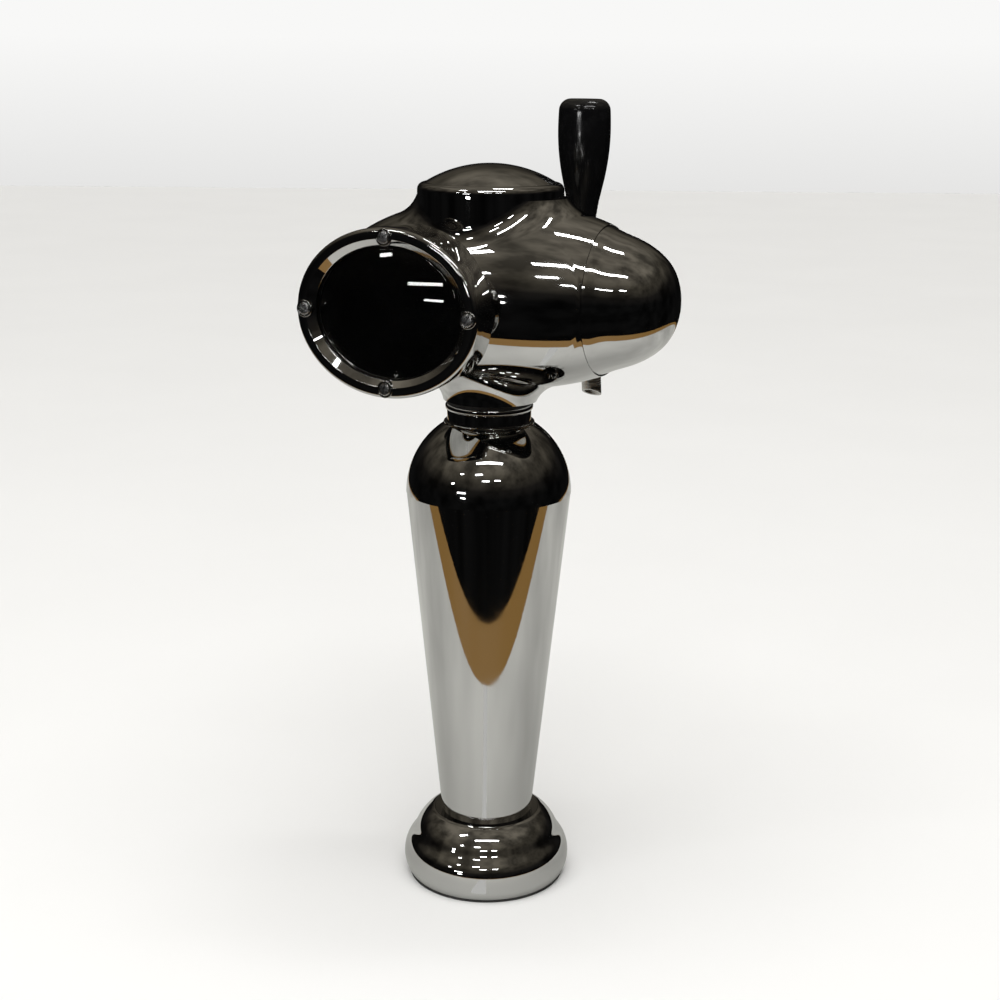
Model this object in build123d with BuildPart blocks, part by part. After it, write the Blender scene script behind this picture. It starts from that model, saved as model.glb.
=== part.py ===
from build123d import *
from math import acos, asin, atan2, cos, degrees, radians, sin, sqrt
import os

# Beer tower dispenser with one tap. Millimetres, +Z up.
# Origin: centre of the foot's fixing holes, on the plane the tower stands on.
# The badge faces -Y, the barrel of the head lies along X and the tap looks towards +Y.

# ---------------------------------------------------------------- driving dimensions
# Clearances
fit = 0.08             # radial clearance of a running fit or a thread
open_gap = 0.35        # between moving pieces that do not guide each other
slip = 0.20            # clearance between pieces that are put together by hand
seat_gap = 0.05        # gap between faces that are clamped together

# Foot
gasket_t = 1.6         # rubber gasket under the foot
foot_seat_z = 42.5     # where the column stands on the foot
foot_base_r = 49.3     # foot at the gasket
foot_bulge_r = 53.0    # widest part of the rim
foot_bulge_z = 14.5
foot_waist_r = 46.8    # crease between the rim and the bell
foot_waist_z = 28.5
foot_bell_r = 42.3     # a point on the bell's shoulder
foot_bell_z = 37.0
foot_lip_r = 34.5      # crest of the bell
foot_lip_h = 1.7       # crest above the column's seat
foot_hollow_r = 35.7   # open centre for hoses and fittings
foot_roof_t = 10.0     # metal between the hollow and the column's seat
foot_lip_fillet = 0.7
fixing_count = 4
fixing_turn = 45       # first hole, from +X
fixing_hole_r = 2.6    # tapped M6
fixing_depth = 14.0

# Column
column_wall = 2.5
column_foot_r = 28.6   # bottom of the cone
column_crease_r = 50.6  # top of the cone
cone_h = 212.5
shoulder_r = 50.8      # round shoulder above the crease
neck_r = 25.7
neck_band_h = 8.6      # plain band of the neck
neck_bead_r = 27.2     # bead where the neck leaves the shoulder
neck_bead_h = 1.6
neck_bead_bulge = 0.6
tail_r = 26.4          # threaded tail that goes through the foot
tail_len = 16.0
column_nut_r = 34.0
column_nut_h = 6.0
notch_count = 6        # wrench notches of the ring nuts
notch_depth = 2.0
notch_w = 5.0
nut_gap = 0.5          # between the foot's roof and the nut's flange

# Neck joint between column and head
neck_tube_r = 21.3
neck_tube_bore_r = 17.5
neck_flange_r = 27.5
neck_flange_t = 3.8
neck_seat_drop = 6.0   # depth of the inner seat below the neck's start
neck_ring_r = 26.8
neck_ring_h = 3.6
neck_seal_r = 25.9
neck_seal_h = 2.2
neck_nut_r = 27.0
neck_nut_h = 6.8

# Head
head_r = 56.0          # barrel at its middle
barrel_half_len = 111.5  # half length of the barrel's oval
barrel_mid_x = 5.5     # middle of the oval, off the column's axis
head_wall = 4.5
collar_r = 27.6        # round foot of the head
collar_h = 8.5         # below the barrel
collar_fillet = 20.0
turret_r = 43.3        # round opening on top of the head
turret_rise = 1.5      # above the barrel
turret_fillet = 20.0
turret_bore_r = 38.3
blend_reach = 20.0     # extra height that the fillets run over before the ends are cut flat
seam_x = 74.5          # where the end dome meets the barrel
dome_land_x = 44.0     # start of the bore that holds the dome's sleeve
dome_land_t = 5.0      # metal round the bore at the seam
nut_pocket_r = 27.6
nut_boss_r = 31.0
nut_clear_h = 12.0     # free height above the floor for the nut
nut_pocket_z = 9.6     # floor of the neck nut's pocket above the barrel's lowest line

# Top cap
cap_r = 43.5
cap_band_h = 8.0
cap_edge_fillet = 4.3
cap_crown_r = 39.0     # where the crown starts
cap_crown_rise = 11.0
cap_wall = 3.0
cap_sleeve_h = 9.0
cap_sleeve_wall = 4.5
seal_wire_r = 1.3      # section of the large round sealing rings
cap_seal_drop = 4.5    # ring below the cap's seat

# End dome
dome_len = 42.95
dome_rim_step = 0.9    # rim below the barrel at the seam
# Length beyond the rim, drop below the rim's radius
dome_profile = ((0.0, 0.0), (5.45, 2.3), (15.45, 5.9), (25.45, 10.7), (35.45, 19.1))
dome_start_slope = -0.33
dome_wall = 3.5
dome_rim_t = 6.2       # wall of the cup at its rim
dome_sleeve_wall = 4.6
dome_seal_x = 66.0
lock_x = 54.0          # set screw that holds the dome's sleeve
lock_angle = 51.5      # below the horizontal, on the badge side
lock_recess_r = 6.6
lock_recess_drop = 10.2  # recess floor below the barrel's widest part
lock_screw_r = 3.9
lock_screw_len = 8.2
lock_socket_af = 4.0
lock_socket_depth = 4.0
lock_dimple = 2.0      # depth of the dimple in the dome's sleeve

# Badge
badge_x = -30.0
badge_drop = 4.5       # badge centre below the barrel's axis
drum_a = 55.8          # oval drum that carries the badge: half width, half height
drum_b = 46.9
drum_rise = 14.5       # front face of the drum beyond the barrel
drum_root_y = 4.0      # the drum runs back to here inside the barrel
drum_wall = 4.5
pocket_depth = 14.0
pocket_floor_t = 4.0
relief_end_y = 26.0    # end of the relief behind the pocket
screw_boss_r = 4.2
bezel_a = 57.3
bezel_b = 48.6
bezel_t = 9.0
bezel_edge = 2.6
bezel_flat = 6.6       # width of the flat front ring
window_a = 46.4        # clear opening of the bezel
window_b = 38.6
bevel_depth = 3.5
window_lip = 2.6       # thickness of the bezel at the opening
lens_flange_b = 40.2   # half height; every oval of the lens has the proportions of the opening
lens_flange_t = 1.8
lens_rise = 4.6        # crown of the lens in front of its flange
lens_t = 2.2
lens_seal_t = 0.9
lens_seal_w = 2.6
disc_b = 38.6
disc_t = 0.9
carrier_wall = 2.5
lug_r = 5.0            # round lugs on the bezel under its screws
lug_proud = 0.4
bezel_screw_x = 51.8   # screws left and right of the badge's centre
bezel_screw_z = 43.2   # screws above and below it
screw_r = 1.9
screw_head_r = 3.6
screw_head_h = 1.5
screw_sink = 0.8       # depth of the head in the bezel
screw_len = 15.0
slot_w = 0.9
slot_depth = 0.8

# Tap
tap_x = 19.0
pad_r = 20.0           # flat pad on the back of the barrel
pad_rise = 3.0         # beyond the barrel
pad_t = 7.7
shank_r = 13.8
shank_bore_r = 3.2
shank_in = 19.0        # thread inside the pad's face
shank_out = 11.0       # thread outside it
hose_tail_r = 4.6
hose_tail_len = 28.0
shank_nut_af = 32.0
shank_nut_t = 6.5
shank_washer_t = 1.0
shank_washer_r = 18.0
rosette_r = 20.5
rosette_t = 3.6
rosette_edge = 1.4
rosette_seal_t = 1.0
rosette_seal_r = 19.0
union_r = 18.0
union_edge = 1.0
union_lip = 2.6
union_flat_count = 6   # grip flats on the union nut
tap_seal_t = 0.8
tap_flange_r = 13.6
tap_flange_t = 2.4
tap_r = 12.3
tap_len = 57.6
tap_inlet_r = 5.2      # bore at the union, before it widens for the cone
tap_bore_r = 6.95
tap_taper_start = 5.1  # along the tap, from its inlet
tap_taper_len = 9.3
plug_thread_len = 4.0
plug_thread_r = 8.6
plug_head_r = 11.4
plug_head_t = 3.0
plug_edge = 1.2
plug_socket_af = 6.0
plug_socket_depth = 4.5
pivot_along = 32.1     # lever axis along the tap, from its inlet
pivot_h = 16.0         # lever axis above the tap's axis
tower_r = 12.6         # upright of the tap body
tower_top = 2.4        # above the pivot
throat_half_w = 4.4    # slot for the lever's finger: half width, ends behind and in front of the pivot
throat_back = 9.2
throat_front = 6.0
ball_r = 7.5
seat_half_h = 3.4      # the two seat rings above and below the pivot
seat_split = 0.1
seat_r = 10.4
bonnet_r = 15.2
bonnet_skirt = 6.5
bonnet_lip_t = 1.6
bonnet_mouth_r = 7.1   # opening at the seat
bonnet_flare_r = 8.6   # opening at the top
bonnet_edge = 0.8
lever_rod_r = 2.6
finger_ball_r = 3.6
finger_len = 14.5      # pivot to the centre of the finger's ball
piston_back = 8.5      # piston behind and in front of the finger
piston_front = 18.0
piston_bore_r = 2.6
piston_slot_gap = 0.5
piston_flare = 1.6     # how much wider the finger's pocket is at the top
piston_flare_z = 2.5   # where it starts to widen, above the tap's axis
piston_seal_y = (7.3, 16.3)   # sealing rings in front of the finger
piston_wire_r = 0.9
port_along = 43.9      # outlet port along the tap, from its inlet
port_r = 3.2
cone_along = 5.9       # small end of the flow cone, along the tap
cone_len = 8.0
cone_big_r = 6.4
cone_small_r = 4.9
cone_groove_r = 3.2
cone_vane_t = 1.2      # crossed guide vanes on the cone's nose
cone_vane_half_w = 3.05
cone_vane_len = 11.0
dial_along = 10.6      # flow control shaft along the tap, from its inlet
dial_shaft_r = 2.6
dial_start_x = 6.65    # inner end of the shaft from the tap's axis
dial_pin_r = 0.9
dial_pin_x = 3.7       # end of the eccentric pin
dial_throw = 1.5
dial_rest = 45.0       # pin's angle below the level at rest
dial_boss_r = 5.4
dial_boss_x = 18.2     # end of the shaft's boss
gland_bore_r = 4.4
gland_start_x = 12.5
dial_wire_r = 0.8
dial_collar_r = 4.0
dial_collar_x = 14.4
dial_collar_t = 1.0
dial_hub_x = 18.5
dial_hub_r = 5.6
dial_hub_t = 5.0
dial_hub_edge = 0.8
dial_arm_len = 24.0
dial_arm_w = 6.0
dial_arm_t = 3.0
spout_reach = 12.2     # tip beyond the outlet port
spout_tip_drop = 81.0  # tip below the tap's axis
spout_r = 6.5
spout_bore_r = 4.8
spout_boss_r = 9.0
spout_boss_end = 17.0  # along the spout's axis from the tap's axis
spout_socket = 6.5
spout_collar_r = 8.6
spout_collar_len = 4.0
spout_collar_edge = 1.0
spout_cut_angle = 34.0  # slant of the cut at the tip
spout_spare = 12.0     # length that the slanted cut trims

# Handle
ferrule_gap = 11.5     # ferrule above the pivot
ferrule_h = 8.0
ferrule_r = 8.0
ferrule_waist_r = 6.6
stud_r = 3.5
stud_in_handle = 20.0
# Height on the handle, half width across the tap, half width along it
handle_sections = (
    (0, 8.4, 8.0),
    (11, 10.1, 9.2),
    (25, 13.4, 11.0),
    (40, 16.1, 12.7),
    (56, 17.2, 13.4),
    (76.5, 16.4, 12.8),
)
handle_edge = 5.5

# Lines inside the tower
line_r = 4.75
line_x = 12.0
line_y = 2.0
line_end_z = 28.0
coolant_r = 3.2
coolant_x = -8.0
coolant_bend_r = 6.5
line_bore_r = 3.3
coolant_bore_r = 2.4
line_swing_gap = 4.4   # the line leans over to the tap this far above the neck tube
line_swing_h = 16.0
line_bend_r = 18.0
coolant_top_above_nut = 4.0
elbow_r = 7.4
elbow_drop = 15.0
elbow_grip = 10.0      # length of hose tail inside the elbow
elbow_socket = 12.0
core_start_z = 50.0
core_top_gap = 5.0
core_gap = 0.5

# ---------------------------------------------------------------- derived places
fixing_pcd = foot_base_r + foot_hollow_r
foot_lip_z = foot_seat_z + foot_lip_h
foot_hollow_top = foot_seat_z - foot_roof_t
tail_end_z = foot_seat_z - tail_len
crease_z = foot_seat_z + cone_h
cone_slope = (column_crease_r - column_foot_r) / cone_h
neck_start_z = crease_z + sqrt(shoulder_r**2 - neck_bead_r**2)
bead_top_z = neck_start_z + neck_bead_h
neck_top_z = neck_start_z + neck_band_h
neck_seat_z = neck_start_z - neck_seat_drop
shoulder_in_r = shoulder_r - column_wall
ring_z = neck_top_z + seat_gap
ring_top_z = ring_z + neck_ring_h
seal_top_z = ring_top_z + seat_gap + neck_seal_h
collar_z = seal_top_z + seat_gap
head_z = collar_z + collar_h + head_r
turret_top_z = head_z + head_r + turret_rise
nut_floor_z = head_z - head_r + nut_pocket_z
neck_nut_z = nut_floor_z + seat_gap
neck_nut_top_z = neck_nut_z + neck_nut_h
neck_tube_top_z = neck_nut_top_z + slip
lock_recess_floor_r = head_r - lock_recess_drop
drum_face_y = head_r + drum_rise
badge_z = head_z - badge_drop
pad_y = head_r + pad_rise
pad_inner_y = pad_y - pad_t
shank_start_y = pad_y - shank_in
shank_end_y = pad_y + shank_out
hose_tail_y = shank_start_y - hose_tail_len
elbow_end_y = hose_tail_y + elbow_grip
tap_seal_y = shank_end_y + seat_gap
tap_start_y = tap_seal_y + tap_seal_t + seat_gap
tap_front_y = tap_start_y + tap_len
tap_taper_y = tap_start_y + tap_taper_start
plug_seat_y = tap_front_y - plug_thread_len
pivot_y = tap_start_y + pivot_along
port_y = tap_start_y + port_along
cone_start_y = tap_start_y + cone_along
dial_y = tap_start_y + dial_along
pivot_z = head_z + pivot_h
finger_z = pivot_z - finger_len
bezel_back_y = drum_face_y + seat_gap
bezel_front_y = bezel_back_y + bezel_t
lug_face_y = bezel_front_y + lug_proud
window_back_y = bezel_front_y - bevel_depth - window_lip
oval = window_a / window_b
spout_angle = atan2(spout_reach, spout_tip_drop)
spout_len = sqrt(spout_tip_drop**2 + spout_reach**2)

bezel_screw_spots = ((bezel_screw_x, 0), (-bezel_screw_x, 0), (0, bezel_screw_z), (0, -bezel_screw_z))

head_axis = Axis((0, 0, head_z), (1, 0, 0))
tap_axis = Axis((tap_x, 0, head_z), (0, 1, 0))
lever_axis = Axis((tap_x, pivot_y, pivot_z), (0, 0, 1))
barrel_plane = Plane(origin=(0, 0, head_z), x_dir=(1, 0, 0), z_dir=(0, 0, 1))
tap_plane = Plane(origin=(tap_x, 0, head_z), x_dir=(0, 1, 0), z_dir=(1, 0, 0))
lever_plane = Plane(origin=(tap_x, pivot_y, pivot_z), x_dir=(0, 1, 0), z_dir=(1, 0, 0))


def badge_plane(y):
    """Plane across the badge, y in front of the barrel's axis, facing the viewer."""
    return Plane(origin=(badge_x, -y, badge_z), x_dir=(1, 0, 0), z_dir=(0, -1, 0))


def tap_section(y):
    """Plane across the tap's axis at y, facing +Y."""
    return Plane(origin=(tap_x, y, head_z), x_dir=(1, 0, 0), z_dir=(0, 1, 0))


def tower_plane(height):
    """Level plane through the lever's upright, height above the tap's axis."""
    return Plane(origin=(tap_x, pivot_y, head_z + height), x_dir=(1, 0, 0), z_dir=(0, 0, 1))


def dial_plane(offset):
    """Plane across the flow control shaft, offset sideways from the tap's axis, facing +X."""
    return Plane(origin=(tap_x + offset, dial_y, head_z), x_dir=(0, 1, 0), z_dir=(1, 0, 0))


def spout_plane(distance):
    """Plane across the spout, distance down its axis from the tap's axis, facing the tip."""
    down = Vector(0, sin(spout_angle), -cos(spout_angle))
    return Plane(origin=Vector(tap_x, port_y, head_z) + down * distance, x_dir=(1, 0, 0), z_dir=down)


def lock_plane(distance):
    """Plane across the dome's set screw, at a distance from the barrel's axis, facing out."""
    out = Vector(0, -cos(radians(lock_angle)), -sin(radians(lock_angle)))
    return Plane(origin=Vector(lock_x, 0, head_z) + out * distance, x_dir=(1, 0, 0), z_dir=out)


def barrel_radius(x, inset=0.0):
    """Radius of the barrel's oval at x, inset by a wall."""
    return (head_r - inset) * sqrt(1 - ((x - barrel_mid_x) / (barrel_half_len - inset)) ** 2)


seam_r = barrel_radius(seam_x)
dome_bore_r = seam_r - dome_land_t
dome_rim_r = seam_r - dome_rim_step


def finish(builder, label):
    """Names a piece and writes it."""
    builder.part.label = label
    export_step(builder.part, f"parts/{label}.step")


os.makedirs("parts", exist_ok=True)

# ---------------------------------------------------------------- foot
with BuildPart() as foot_gasket:
    with BuildSketch(Plane.XY):
        Circle(foot_base_r)
        Circle(foot_hollow_r, mode=Mode.SUBTRACT)
        with PolarLocations(fixing_pcd / 2, fixing_count, start_angle=fixing_turn):
            Circle(fixing_hole_r, mode=Mode.SUBTRACT)
    extrude(amount=gasket_t)
finish(foot_gasket, "foot_gasket")

# Cast bell: a bulged rim, a crease, a round bell and a lip round the column.
with BuildPart() as foot_flange:
    with BuildSketch(Plane.XZ):
        with BuildLine():
            socket_r = column_foot_r + slip
            Polyline(
                (foot_hollow_r, gasket_t),
                (foot_base_r, gasket_t),
            )
            waist = (foot_waist_r, foot_waist_z)
            ThreePointArc((foot_base_r, gasket_t), (foot_bulge_r, foot_bulge_z), waist)
            ThreePointArc(waist, (foot_bell_r, foot_bell_z), (foot_lip_r, foot_lip_z))
            Polyline(
                (foot_lip_r, foot_lip_z),
                (socket_r, foot_lip_z),
                (socket_r, foot_seat_z),
                (tail_r + slip, foot_seat_z),
                (tail_r + slip, foot_hollow_top),
                (foot_hollow_r, foot_hollow_top),
                (foot_hollow_r, gasket_t),
            )
        make_face()
    revolve(axis=Axis.Z)
    with BuildSketch(Plane.XY.offset(gasket_t)):
        with PolarLocations(fixing_pcd / 2, fixing_count, start_angle=fixing_turn):
            Circle(fixing_hole_r)
    extrude(amount=fixing_depth, mode=Mode.SUBTRACT)
    lip_edges = foot_flange.edges().filter_by(GeomType.CIRCLE)
    fillet(lip_edges.filter_by_position(Axis.Z, foot_lip_z, foot_lip_z), foot_lip_fillet)
finish(foot_flange, "foot_flange")

# ---------------------------------------------------------------- column
with BuildPart() as column_shell:
    with BuildSketch(Plane.XZ):
        with BuildLine():
            bead_mid = (neck_bead_r + neck_bead_bulge, neck_start_z + neck_bead_h / 2)
            shoulder_mid = radians(30)
            seat_in_r = sqrt(shoulder_in_r**2 - (neck_seat_z - crease_z) ** 2)
            in_mid = asin((neck_seat_z - crease_z) / shoulder_in_r) / 2
            Polyline(
                (tail_r - column_wall, tail_end_z),
                (tail_r, tail_end_z),
                (tail_r, foot_seat_z),
                (column_foot_r, foot_seat_z),
                (column_crease_r, crease_z),
                (shoulder_r, crease_z),
            )
            ThreePointArc(
                (shoulder_r, crease_z),
                (shoulder_r * cos(shoulder_mid), crease_z + shoulder_r * sin(shoulder_mid)),
                (neck_bead_r, neck_start_z),
            )
            ThreePointArc((neck_bead_r, neck_start_z), bead_mid, (neck_bead_r, bead_top_z))
            Polyline(
                (neck_bead_r, bead_top_z),
                (neck_r, bead_top_z),
                (neck_r, neck_top_z),
                (neck_tube_r + slip, neck_top_z),
                (neck_tube_r + slip, neck_seat_z),
                (seat_in_r, neck_seat_z),
            )
            ThreePointArc(
                (seat_in_r, neck_seat_z),
                (shoulder_in_r * cos(in_mid), crease_z + shoulder_in_r * sin(in_mid)),
                (shoulder_in_r, crease_z),
            )
            Polyline(
                (shoulder_in_r, crease_z),
                (column_crease_r - column_wall, crease_z),
                (column_foot_r - column_wall + 2 * column_wall * cone_slope, foot_seat_z + 2 * column_wall),
                (tail_r - column_wall, foot_seat_z + column_wall),
                (tail_r - column_wall, tail_end_z),
            )
        make_face()
    revolve(axis=Axis.Z)
finish(column_shell, "column_shell")

# Flanged ring nut that pulls the column's tail down through the foot's roof.
nut_top_z = foot_hollow_top - nut_gap
with BuildPart() as column_nut:
    with BuildSketch(Plane.XY.offset(nut_top_z - column_nut_h)):
        Circle(column_nut_r)
        Circle(tail_r + slip, mode=Mode.SUBTRACT)
        with PolarLocations(column_nut_r, notch_count):
            Rectangle(2 * notch_depth, notch_w, mode=Mode.SUBTRACT)
    extrude(amount=column_nut_h)
finish(column_nut, "column_nut")

# ---------------------------------------------------------------- neck joint
# Threaded tube with a flange: it holds the head's collar down on the column's neck.
with BuildPart() as neck_tube:
    with BuildSketch(Plane.XZ):
        with BuildLine():
            flange_top_z = neck_seat_z - seat_gap
            flange_low_z = flange_top_z - neck_flange_t
            Polyline(
                (neck_tube_bore_r, flange_low_z),
                (neck_flange_r, flange_low_z),
                (neck_flange_r, flange_top_z),
                (neck_tube_r, flange_top_z),
                (neck_tube_r, neck_tube_top_z),
                (neck_tube_bore_r, neck_tube_top_z),
                close=True,
            )
        make_face()
    revolve(axis=Axis.Z)
finish(neck_tube, "neck_tube")

with BuildPart() as neck_ring:
    with BuildSketch(Plane.XY.offset(ring_z)):
        Circle(neck_ring_r)
        Circle(neck_tube_r + slip, mode=Mode.SUBTRACT)
    extrude(amount=neck_ring_h)
    fillet(neck_ring.edges().filter_by(GeomType.CIRCLE).group_by(SortBy.RADIUS)[-1], neck_ring_h / 3)
finish(neck_ring, "neck_ring")

with BuildPart() as neck_seal:
    with BuildSketch(Plane.XY.offset(ring_top_z + seat_gap)):
        Circle(neck_seal_r)
        Circle(neck_tube_r + slip, mode=Mode.SUBTRACT)
    extrude(amount=neck_seal_h)
finish(neck_seal, "neck_seal")

with BuildPart() as neck_nut:
    with BuildSketch(Plane.XY.offset(neck_nut_z)):
        Circle(neck_nut_r)
        Circle(neck_tube_r + fit, mode=Mode.SUBTRACT)
        with PolarLocations(neck_nut_r, notch_count):
            Rectangle(2 * notch_depth, notch_w, mode=Mode.SUBTRACT)
    extrude(amount=neck_nut_h)
finish(neck_nut, "neck_nut")

# ---------------------------------------------------------------- head body
# Room inside the barrel, less the boss that the neck nut stands on.
cavity_half_len = barrel_half_len - head_wall
cavity_r = head_r - head_wall
with BuildPart() as head_room:
    with BuildSketch(barrel_plane):
        with BuildLine():
            land_r = barrel_radius(dome_land_x, head_wall)
            land_angle = degrees(atan2(land_r / cavity_r, (dome_land_x - barrel_mid_x) / cavity_half_len))
            room_arc = 180 - land_angle
            EllipticalCenterArc(
                (barrel_mid_x, 0), cavity_half_len, cavity_r, start_angle=land_angle, arc_size=room_arc
            )
            Polyline(
                (barrel_mid_x - cavity_half_len, 0),
                (dome_land_x, 0),
                (dome_land_x, land_r),
            )
        make_face()
    revolve(axis=head_axis)
    with BuildSketch(Plane.XY.offset(nut_floor_z)):
        Circle(nut_boss_r)
    extrude(amount=-head_r, mode=Mode.SUBTRACT)

# Cast barrel with a closed left end, a turret, a collar, the badge drum and a pad for the tap.
with BuildPart() as head_body:
    with BuildSketch(barrel_plane):
        with BuildLine():
            EllipticalCenterArc((barrel_mid_x, 0), barrel_half_len, head_r, start_angle=0, arc_size=180)
            Line((barrel_mid_x - barrel_half_len, 0), (barrel_mid_x + barrel_half_len, 0))
        make_face()
    revolve(axis=head_axis)
    # The turret and the collar are drawn too tall, blended in, and then cut flat.
    with BuildSketch(Plane.XY.offset(head_z)):
        Circle(turret_r)
    extrude(amount=head_r + turret_rise + blend_reach)
    fillet(head_body.edges().filter_by(GeomType.BSPLINE).sort_by(Axis.Z)[-1], turret_fillet)
    with BuildSketch(Plane.XY.offset(head_z)):
        Circle(collar_r)
    extrude(amount=-(head_r + collar_h + blend_reach))
    fillet(head_body.edges().filter_by(GeomType.BSPLINE).sort_by(Axis.Z)[0], collar_fillet)
    split(bisect_by=Plane.XY.offset(turret_top_z), keep=Keep.BOTTOM)
    split(bisect_by=Plane.XY.offset(collar_z), keep=Keep.TOP)
    split(bisect_by=Plane.YZ.offset(seam_x), keep=Keep.BOTTOM)
    # Oval drum for the badge and the flat pad for the tap.
    with BuildSketch(badge_plane(drum_root_y)):
        Ellipse(drum_a, drum_b)
    extrude(amount=drum_face_y - drum_root_y)
    with BuildSketch(tap_section(pad_inner_y)):
        Circle(pad_r)
    extrude(amount=pad_y - pad_inner_y)
    add(head_room.part, mode=Mode.SUBTRACT)
    # Bores for the end dome, the top cap, the neck tube, its nut and the tap's shank.
    with BuildSketch(Plane.YZ.offset(dome_land_x)):
        with Locations((0, head_z)):
            Circle(dome_bore_r)
    extrude(amount=seam_x - dome_land_x, mode=Mode.SUBTRACT)
    with BuildSketch(Plane.XY.offset(head_z)):
        Circle(turret_bore_r)
    extrude(amount=turret_top_z - head_z, mode=Mode.SUBTRACT)
    with BuildSketch(Plane.XY.offset(collar_z)):
        Circle(neck_tube_r + slip)
    extrude(amount=nut_floor_z - collar_z, mode=Mode.SUBTRACT)
    with BuildSketch(Plane.XY.offset(nut_floor_z)):
        Circle(nut_pocket_r)
    extrude(amount=nut_clear_h, mode=Mode.SUBTRACT)
    with BuildSketch(tap_section(pad_y)):
        Circle(shank_r + slip)
    extrude(amount=-head_wall - pad_y + head_r - head_wall, mode=Mode.SUBTRACT)
    with BuildSketch(tap_section(pad_inner_y)):
        Circle(pad_r - slip)
    extrude(amount=-head_wall, mode=Mode.SUBTRACT)
    # Badge pocket between its screw bosses, the relief behind its floor, and the screw holes.
    with BuildSketch(badge_plane(drum_face_y)):
        Ellipse(drum_a - drum_wall, drum_b - drum_wall)
        with Locations(*bezel_screw_spots):
            Circle(screw_boss_r, mode=Mode.SUBTRACT)
    extrude(amount=-pocket_depth, mode=Mode.SUBTRACT)
    with BuildSketch(badge_plane(relief_end_y)):
        Ellipse(drum_a - drum_wall, drum_b - drum_wall)
    extrude(amount=drum_face_y - pocket_depth - pocket_floor_t - relief_end_y, mode=Mode.SUBTRACT)
    with BuildSketch(badge_plane(drum_face_y)):
        with Locations(*bezel_screw_spots):
            Circle(screw_r + fit)
    extrude(amount=-pocket_depth, mode=Mode.SUBTRACT)
    # Recess and hole of the dome's set screw.
    with BuildSketch(lock_plane(lock_recess_floor_r)):
        Circle(lock_recess_r)
    extrude(amount=head_r - lock_recess_floor_r, mode=Mode.SUBTRACT)
    with BuildSketch(lock_plane(dome_bore_r - head_wall)):
        Circle(lock_screw_r + fit)
    extrude(amount=head_r - dome_bore_r, mode=Mode.SUBTRACT)
finish(head_body, "head_body")

# ---------------------------------------------------------------- top cap
cap_z = turret_top_z + seat_gap
cap_edge_z = cap_z + cap_band_h
cap_top_z = cap_edge_z + cap_crown_rise
crown_sphere_r = (cap_crown_r**2 + cap_crown_rise**2) / (2 * cap_crown_rise)
crown_centre_z = cap_top_z - crown_sphere_r
cap_sleeve_r = turret_bore_r - slip
cap_sleeve_in_r = cap_sleeve_r - cap_sleeve_wall
cap_ring_r = turret_bore_r - seat_gap - seal_wire_r
cap_ring_z = cap_z - cap_seal_drop
groove_half_w = seal_wire_r + seat_gap
with BuildPart() as top_cap:
    with BuildSketch(Plane.XZ):
        with BuildLine():
            crown_angle = degrees(asin((cap_edge_z - crown_centre_z) / crown_sphere_r))
            crown_in_r = crown_sphere_r - cap_wall
            inner_angle = degrees(acos(cap_sleeve_in_r / crown_in_r))
            cap_groove_r = cap_ring_r - seal_wire_r - seat_gap
            Line((cap_r, cap_z), (cap_r, cap_edge_z - cap_edge_fillet))
            CenterArc((cap_r - cap_edge_fillet, cap_edge_z - cap_edge_fillet), cap_edge_fillet, 0, 90)
            Line((cap_r - cap_edge_fillet, cap_edge_z), (cap_crown_r, cap_edge_z))
            CenterArc((0, crown_centre_z), crown_sphere_r, crown_angle, 90 - crown_angle)
            Line((0, cap_top_z), (0, cap_top_z - cap_wall))
            CenterArc((0, crown_centre_z), crown_in_r, inner_angle, 90 - inner_angle)
            Polyline(
                (cap_sleeve_in_r, crown_centre_z + crown_in_r * sin(radians(inner_angle))),
                (cap_sleeve_in_r, cap_z - cap_sleeve_h),
                (cap_sleeve_r, cap_z - cap_sleeve_h),
                (cap_sleeve_r, cap_ring_z - groove_half_w),
                (cap_groove_r, cap_ring_z - groove_half_w),
                (cap_groove_r, cap_ring_z + groove_half_w),
                (cap_sleeve_r, cap_ring_z + groove_half_w),
                (cap_sleeve_r, cap_z),
                (cap_r, cap_z),
            )
        make_face()
    revolve(axis=Axis.Z)
finish(top_cap, "top_cap")

with BuildPart() as top_cap_seal:
    with Locations((0, 0, cap_ring_z)):
        Torus(cap_ring_r, seal_wire_r)
finish(top_cap_seal, "top_cap_seal")

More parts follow.
